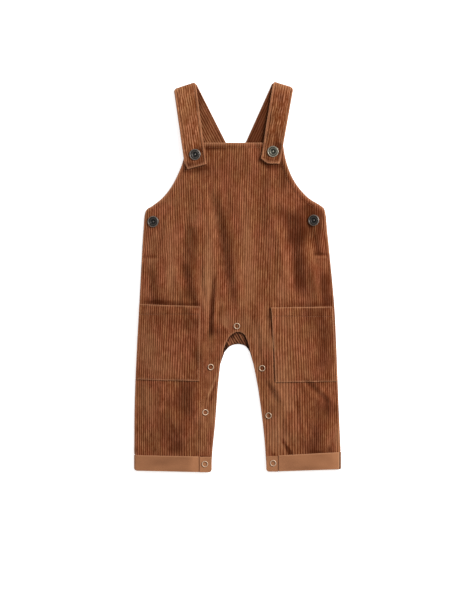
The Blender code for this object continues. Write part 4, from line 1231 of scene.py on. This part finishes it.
def tabPiece(spec):
    near, far = abs(spec.inseam), abs(spec.placket) - cord["gap"]
    sign = math.copysign(1, spec.inseam)
    top, bottom = cuffEdges(spec, (near + far) / 2)
    top = top - cuffCloth["tabDrop"]
    corner = cuffCloth["innerCorner"]
    outline = [(sign * far, bottom), (sign * far, top), (sign * near, top)]
    for i in range(7):
        turn = math.pi / 2 * i / 6
        outline.append((sign * (near + corner * (1 - math.cos(turn))),
                        bottom + corner * (1 - math.sin(turn))))
    bm = flatPiece(outline)
    cutAll(bm, outline, cuffCloth["cell"], Vector((1, 0)), [sign * (far - cuffCloth["seam"])])
    cutAll(bm, outline, cuffCloth["cell"], Vector((0, 1)))
    rimHighlightLayer, seamShadeLayer, napLayer = bandLayers(bm)
    for vert in bm.verts:
        x, y = vert.co.xy
        beside = abs(abs(x) - far) < 0.05
        # painted highlight round the tab's edge
        vert[rimHighlightLayer] = float(lineDistance(x, y, outline, True) < 0.05 and not beside)
        # painted shade beside the band
        vert[seamShadeLayer] = float(beside)
        vert[napLayer] = float(patchSum(x, y, twillLightAndShadePatches))
        vert.co.z = cuffCloth["height"] - cuffCloth["wall"] / 2
    return walledPiece(bm, "cuffTab" + spec.side.title())


print("cuffs")
cuffPieces = []
tabPieces = []
for spec in cuffs:
    finish = twillWithStrip if spec.side == "right" else twill
    cuffPieces.append(settle(cuffPiece(spec), finish, "twill", "cuff_" + spec.side))
    tabPieces.append(settle(tabPiece(spec), tabTwill, "twill", "cuff_tab_" + spec.side))


buttons = rowsOf(
    spot, ("button_strap_left", -61.2, 175.2, 0, "dark"), ("button_strap_right", 50.7, 179.6, 0, "pale"),
    ("button_side_left", -121.1, 79.1, 0, "dark"), ("button_side_right", 109.2, 80.8, 20, "dark"),
)
snaps = rowsOf(
    spot, ("snap_crotch", -1.0, -70.6, 0, "snap"),
    ("snap_left_upper", -38.6, -129.5, 0, "snap"), ("snap_left_lower", -46.5, -194.5, 0, "snap"),
    ("snap_left_cuff", -47.0, -268.8, 0, "snap"), ("snap_right_upper", 35.3, -131.2, 0, "snap"),
    ("snap_right_lower", 44.6, -199.3, 0, "snap"), ("snap_right_cuff", 51.0, -267.6, 0, "snap"),
)
# dark and pale: how far painted shade darkens each kind of button away from lightFrom
buttonSet = {"radius": 8.1, "steps": 64, "dark": 0.12, "pale": 0.45, "lightFrom": 225}
profilePoint = namedtuple("profilePoint", "reach height tone")
buttonProfile = rowsOf(profilePoint,
    (0.0, 0.0, 0.3), (0.36, 0.0, 0.3), (0.90, 0.05, 0.4), (0.97, 0.35, 0.6), (1.0, 0.8, 0.8),
    (0.995, 1.35, 0.9), (0.965, 1.85, 1.0), (0.915, 2.15, 1.0), (0.86, 2.2, 0.8), (0.81, 2.05, 0.25),
    (0.78, 1.7, 0.03), (0.74, 1.5, 0.03), (0.70, 1.62, 0.20), (0.60, 1.62, 0.26), (0.50, 1.56, 0.22),
    (0.44, 1.5, 0.15), (0.41, 1.3, 0.01), (0.36, 0.9, 0.0), (0.24, 0.8, 0.0), (0.17, 1.0, 0.05),
    (0.12, 1.35, 0.35), (0.06, 1.5, 0.55), (0.0, 1.52, 0.55),
)
snapSet = {"outer": 4.5, "inner": 3.3, "height": 1.3, "steps": 48, "points": 14}


def turned(profile, steps):
    # A round shape turned from rows of radius, height and tone
    bm = bmesh.new()
    verts = [bm.verts.new((point[0], 0, point[1])) for point in profile]
    edges = [bm.edges.new(pair) for pair in zip(verts, verts[1:])]
    bmesh.ops.spin(bm, geom=verts + edges, cent=(0, 0, 0), axis=(0, 0, 1),
                   angle=math.tau, steps=steps, use_merge=True)
    bmesh.ops.remove_doubles(bm, verts=bm.verts[:], dist=0.004)
    bmesh.ops.recalc_face_normals(bm, faces=bm.faces[:])
    layer = bm.verts.layers.float.new("tone")
    for vert in bm.verts:
        radius = math.hypot(vert.co.x, vert.co.y)
        nearest = min(profile, key=lambda p: (p[0] - radius) ** 2 + (p[1] - vert.co.z) ** 2)
        vert[layer] = nearest[2]
    return bm


def surfaceUnder(node):
    # What a round piece lies on
    if "side" in node or not ("strap" in node or "cuff" in node):
        return frontOver
    level = cuffCloth["height"]
    if "strap" in node:
        level = strapCloth["bibSurface"] + strapCloth["wall"] + cord["waleHeight"]
    return lambda x, y: np.full(np.shape(x), level)


def laidPiece(bm, item, reach):
    # Lays a round piece on its surface, at the height and tilt at which its rim touches
    x, y, surface, turns = item.x, item.y, surfaceUnder(item.node), np.arange(24) * math.tau / 24
    ends = np.array([x + reach, x - reach, x, x, x]), np.array([y, y, y + reach, y - reach, y])
    right, left, up, down, level = surface(*ends)
    slopeX = (right - left) / (2 * reach) + math.tan(math.radians(item.lean))
    slopeY = (up - down) / (2 * reach)
    dx, dy = reach * np.cos(turns), reach * np.sin(turns)
    around = surface(x + dx, y + dy) - slopeX * dx - slopeY * dy
    place = Matrix.Translation((x, y, max(level, around.max()) + cord["gap"]))
    tilt = Euler((math.atan(slopeY), -math.atan(slopeX), 0)).to_matrix().to_4x4()
    piece = framedPiece(bm, plainName(item.node), toFrame @ place @ tilt)
    piece.data.set_sharp_from_angle(angle=math.radians(50))
    return piece


def buttonPiece(item):
    profile = [(p.reach * buttonSet["radius"], p.height, p.tone) for p in buttonProfile]
    bm = turned(profile, buttonSet["steps"])
    layer = bm.verts.layers.float["tone"]
    for vert in bm.verts:          # painted shade: darker away from the lower left
        turn = math.atan2(vert.co.y, vert.co.x) - math.radians(buttonSet["lightFrom"])
        away = (1 - math.cos(turn)) * 0.5 * math.hypot(vert.co.x, vert.co.y) / 8
        vert[layer] *= 1 - buttonSet[item.look] * away
    return laidPiece(bm, item, buttonSet["radius"])


def snapPiece(item):
    outer, inner, high = snapSet["outer"], snapSet["inner"], snapSet["height"]
    middle, half = (outer + inner) / 2, (outer - inner) / 2
    angles = [math.tau * i / snapSet["points"] for i in range(snapSet["points"])]
    # the tone is painted shade: lighter on the ring's top, darker underneath
    profile = [(middle + half * math.cos(a), high * 0.5 + high * 0.5 * math.sin(a),
                0.5 + 0.5 * math.sin(a)) for a in angles]
    return laidPiece(turned([*profile, profile[0]], snapSet["steps"]), item, outer)


print("buttons and snaps")
for item in buttons:
    settle(buttonPiece(item), metals[item.look], "button_metal", item.node)
for item in snaps:
    settle(snapPiece(item), metals[item.look], "snap_metal", item.node)


stitch = {"length": 2.5, "space": 0.9, "radius": 0.22, "sink": 0.05}


def stitchEnds(line):
    # The first and last points of even stitches along a line, worked out from its own corners
    points = np.array(line, float)
    reach = np.concatenate([[0], np.cumsum(np.hypot(*np.diff(points, axis=0).T))])
    count = max(1, int(reach[-1] // (stitch["length"] + stitch["space"])))
    at = (np.arange(count) + 0.5) * reach[-1] / count
    return [[np.interp(at + sign * stitch["length"] / 2, reach, points[:, i]) for i in range(2)]
            for sign in (-1, 1)]


def sewLines(name, lines, surface):
    # One small capsule for each stitch, between two points on the surface
    bm = bmesh.new()
    for line in lines:
        starts, ends = (np.stack(surface(x, y), axis=1) for x, y in stitchEnds(line))
        for a, b in zip(starts, ends):
            a, b = Vector(a), Vector(b)
            turn = (b - a).to_track_quat("X", "Z").to_matrix().to_4x4()
            size = Matrix.Diagonal((((b - a).length / 2), stitch["radius"], stitch["radius"], 1))
            bmesh.ops.create_uvsphere(bm, u_segments=6, v_segments=5, radius=1,
                                      matrix=Matrix.Translation((a + b) / 2) @ turn @ size)
    return settle(framedPiece(bm, name), thread, "corduroy")


def insetLine(line, distance):
    # The line moved to its left by a distance
    points = [Vector(point) for point in line]
    moved = []
    for i, point in enumerate(points):
        before, after = points[max(0, i - 1)], points[min(len(points) - 1, i + 1)]
        along = (after - before).normalized()
        moved.append(tuple(point + Vector((-along.y, along.x)) * distance))
    return moved


def onFront(x, y):
    return x, y, frontOver(x, y) - stitch["sink"]


print("sewing")
frontSeams = [[p for p in insetLine(line, side * panel["armholeStitch"]) if p[1] < hemY]
              for line, side in zip(armholeLines, (1, -1))]
frontSeams += [[(-42, hemY), (33, hemY)]] + [line for side, line in placketLines]
seams = [sewLines("frontStitches", frontSeams, onFront)]

for spec in pockets:
    centreX, centreY = np.mean(np.array(spec.outline), axis=0)
    inset = pocketCloth["stitchInset"]
    inner = [(x + math.copysign(inset, centreX - x), y + math.copysign(inset, centreY - y))
             for x, y in spec.outline]
    hemSeam = [(inner[0][0], spec.hemLine), (inner[-1][0], spec.hemLine)]

    def onPocket(x, y):
        crest = pocketUnder(x, y, spec) + pocketCloth["wall"] + cord["waleHeight"]
        return x, y, crest - pocketCloth["stitchSink"] + pocketHem(y, spec) * 0.5

    seams.append(sewLines(plainName(spec.node) + "Stitches", [inner, hemSeam], onPocket))

for spec, band in zip(straps, bands):
    steps = strapCloth["cornerSteps"]
    edge = [*band.outline[-steps:], *band.outline[:len(spec.end) + steps]]

    def onStrap(x, y):
        return band.folded(x, y, np.full(np.shape(x), strapCloth["wall"] / 2 + 0.2))

    seam = insetLine(edge, strapCloth["stitchInset"])
    seams.append(sewLines(plainName(spec.node) + "Stitches", [seam], onStrap))


for spec, piece, seam in zip(pockets, pocketPieces, seams[1:3]):
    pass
for band, piece, seam in zip(bands, strapPieces, seams[3:5]):
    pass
for spec, piece, tab in zip(cuffs, cuffPieces, tabPieces):
    line = np.array(cuffPath(spec))


studio = {
    "distance": 2.4, "viewHeight": 0.864, "centre": (-8.8, -33.4), "sensor": 36.0,
    "key": {"place": (1.35, 0.85, 1.6), "size": 0.9, "power": 58.0},
    "fill": {"place": (-0.6, 0.3, 2.2), "size": 2.4, "power": 3.0},
    "sky": 0.44, "floorGlow": 0.62, "floorSize": 3.0, "floorDrop": 0.0003,
}


def areaLight(name):
    light = bpy.data.lights.new(name, "AREA")
    light.size = studio[name]["size"]
    light.energy = studio[name]["power"]
    lamp = linked(name, light)
    lamp.location = studio[name]["place"]
    lamp.rotation_euler = (-lamp.location).to_track_quat("-Z", "Y").to_euler()


def floorPiece():
    bm = bmesh.new()
    bmesh.ops.create_grid(bm, x_segments=2, y_segments=2, size=studio["floorSize"],
                          matrix=Matrix.Translation((0, 0, -studio["floorDrop"])))
    material, shade, shader = newMaterial("floor", {
        "Roughness": 0.9, "Specular IOR Level": 0.1,
        "Emission Color": (1, 1, 1, 1), "Emission Strength": studio["floorGlow"]})
    cloud = shade.noise(shade.place(), 3.0)
    feed(shade, shader, Base_Color=shade.mix(cloud, (0.90, 0.90, 0.90), (0.93, 0.93, 0.93)))
    floor = linked("floor", meshOf(bm, "floor"))
    floor.data.materials.append(material)


print("studio")
floorPiece()
areaLight("key")
areaLight("fill")
world = bpy.data.worlds.new("studio")
world.use_nodes = True
world.node_tree.nodes["Background"].inputs["Color"].default_value = (1, 1, 1, 1)
world.node_tree.nodes["Background"].inputs["Strength"].default_value = studio["sky"]
bpy.context.scene.world = world
bpy.context.scene.view_settings.view_transform = "Standard"

lens = bpy.data.cameras.new("camera")
lens.sensor_width = studio["sensor"]
lens.lens = studio["sensor"] * studio["distance"] / studio["viewHeight"]
camera = linked("camera", lens)
cameraX, cameraY = studio["centre"]
camera.location = (cameraX * mm + shift.x, cameraY * mm + shift.y, studio["distance"])
bpy.context.scene.camera = camera
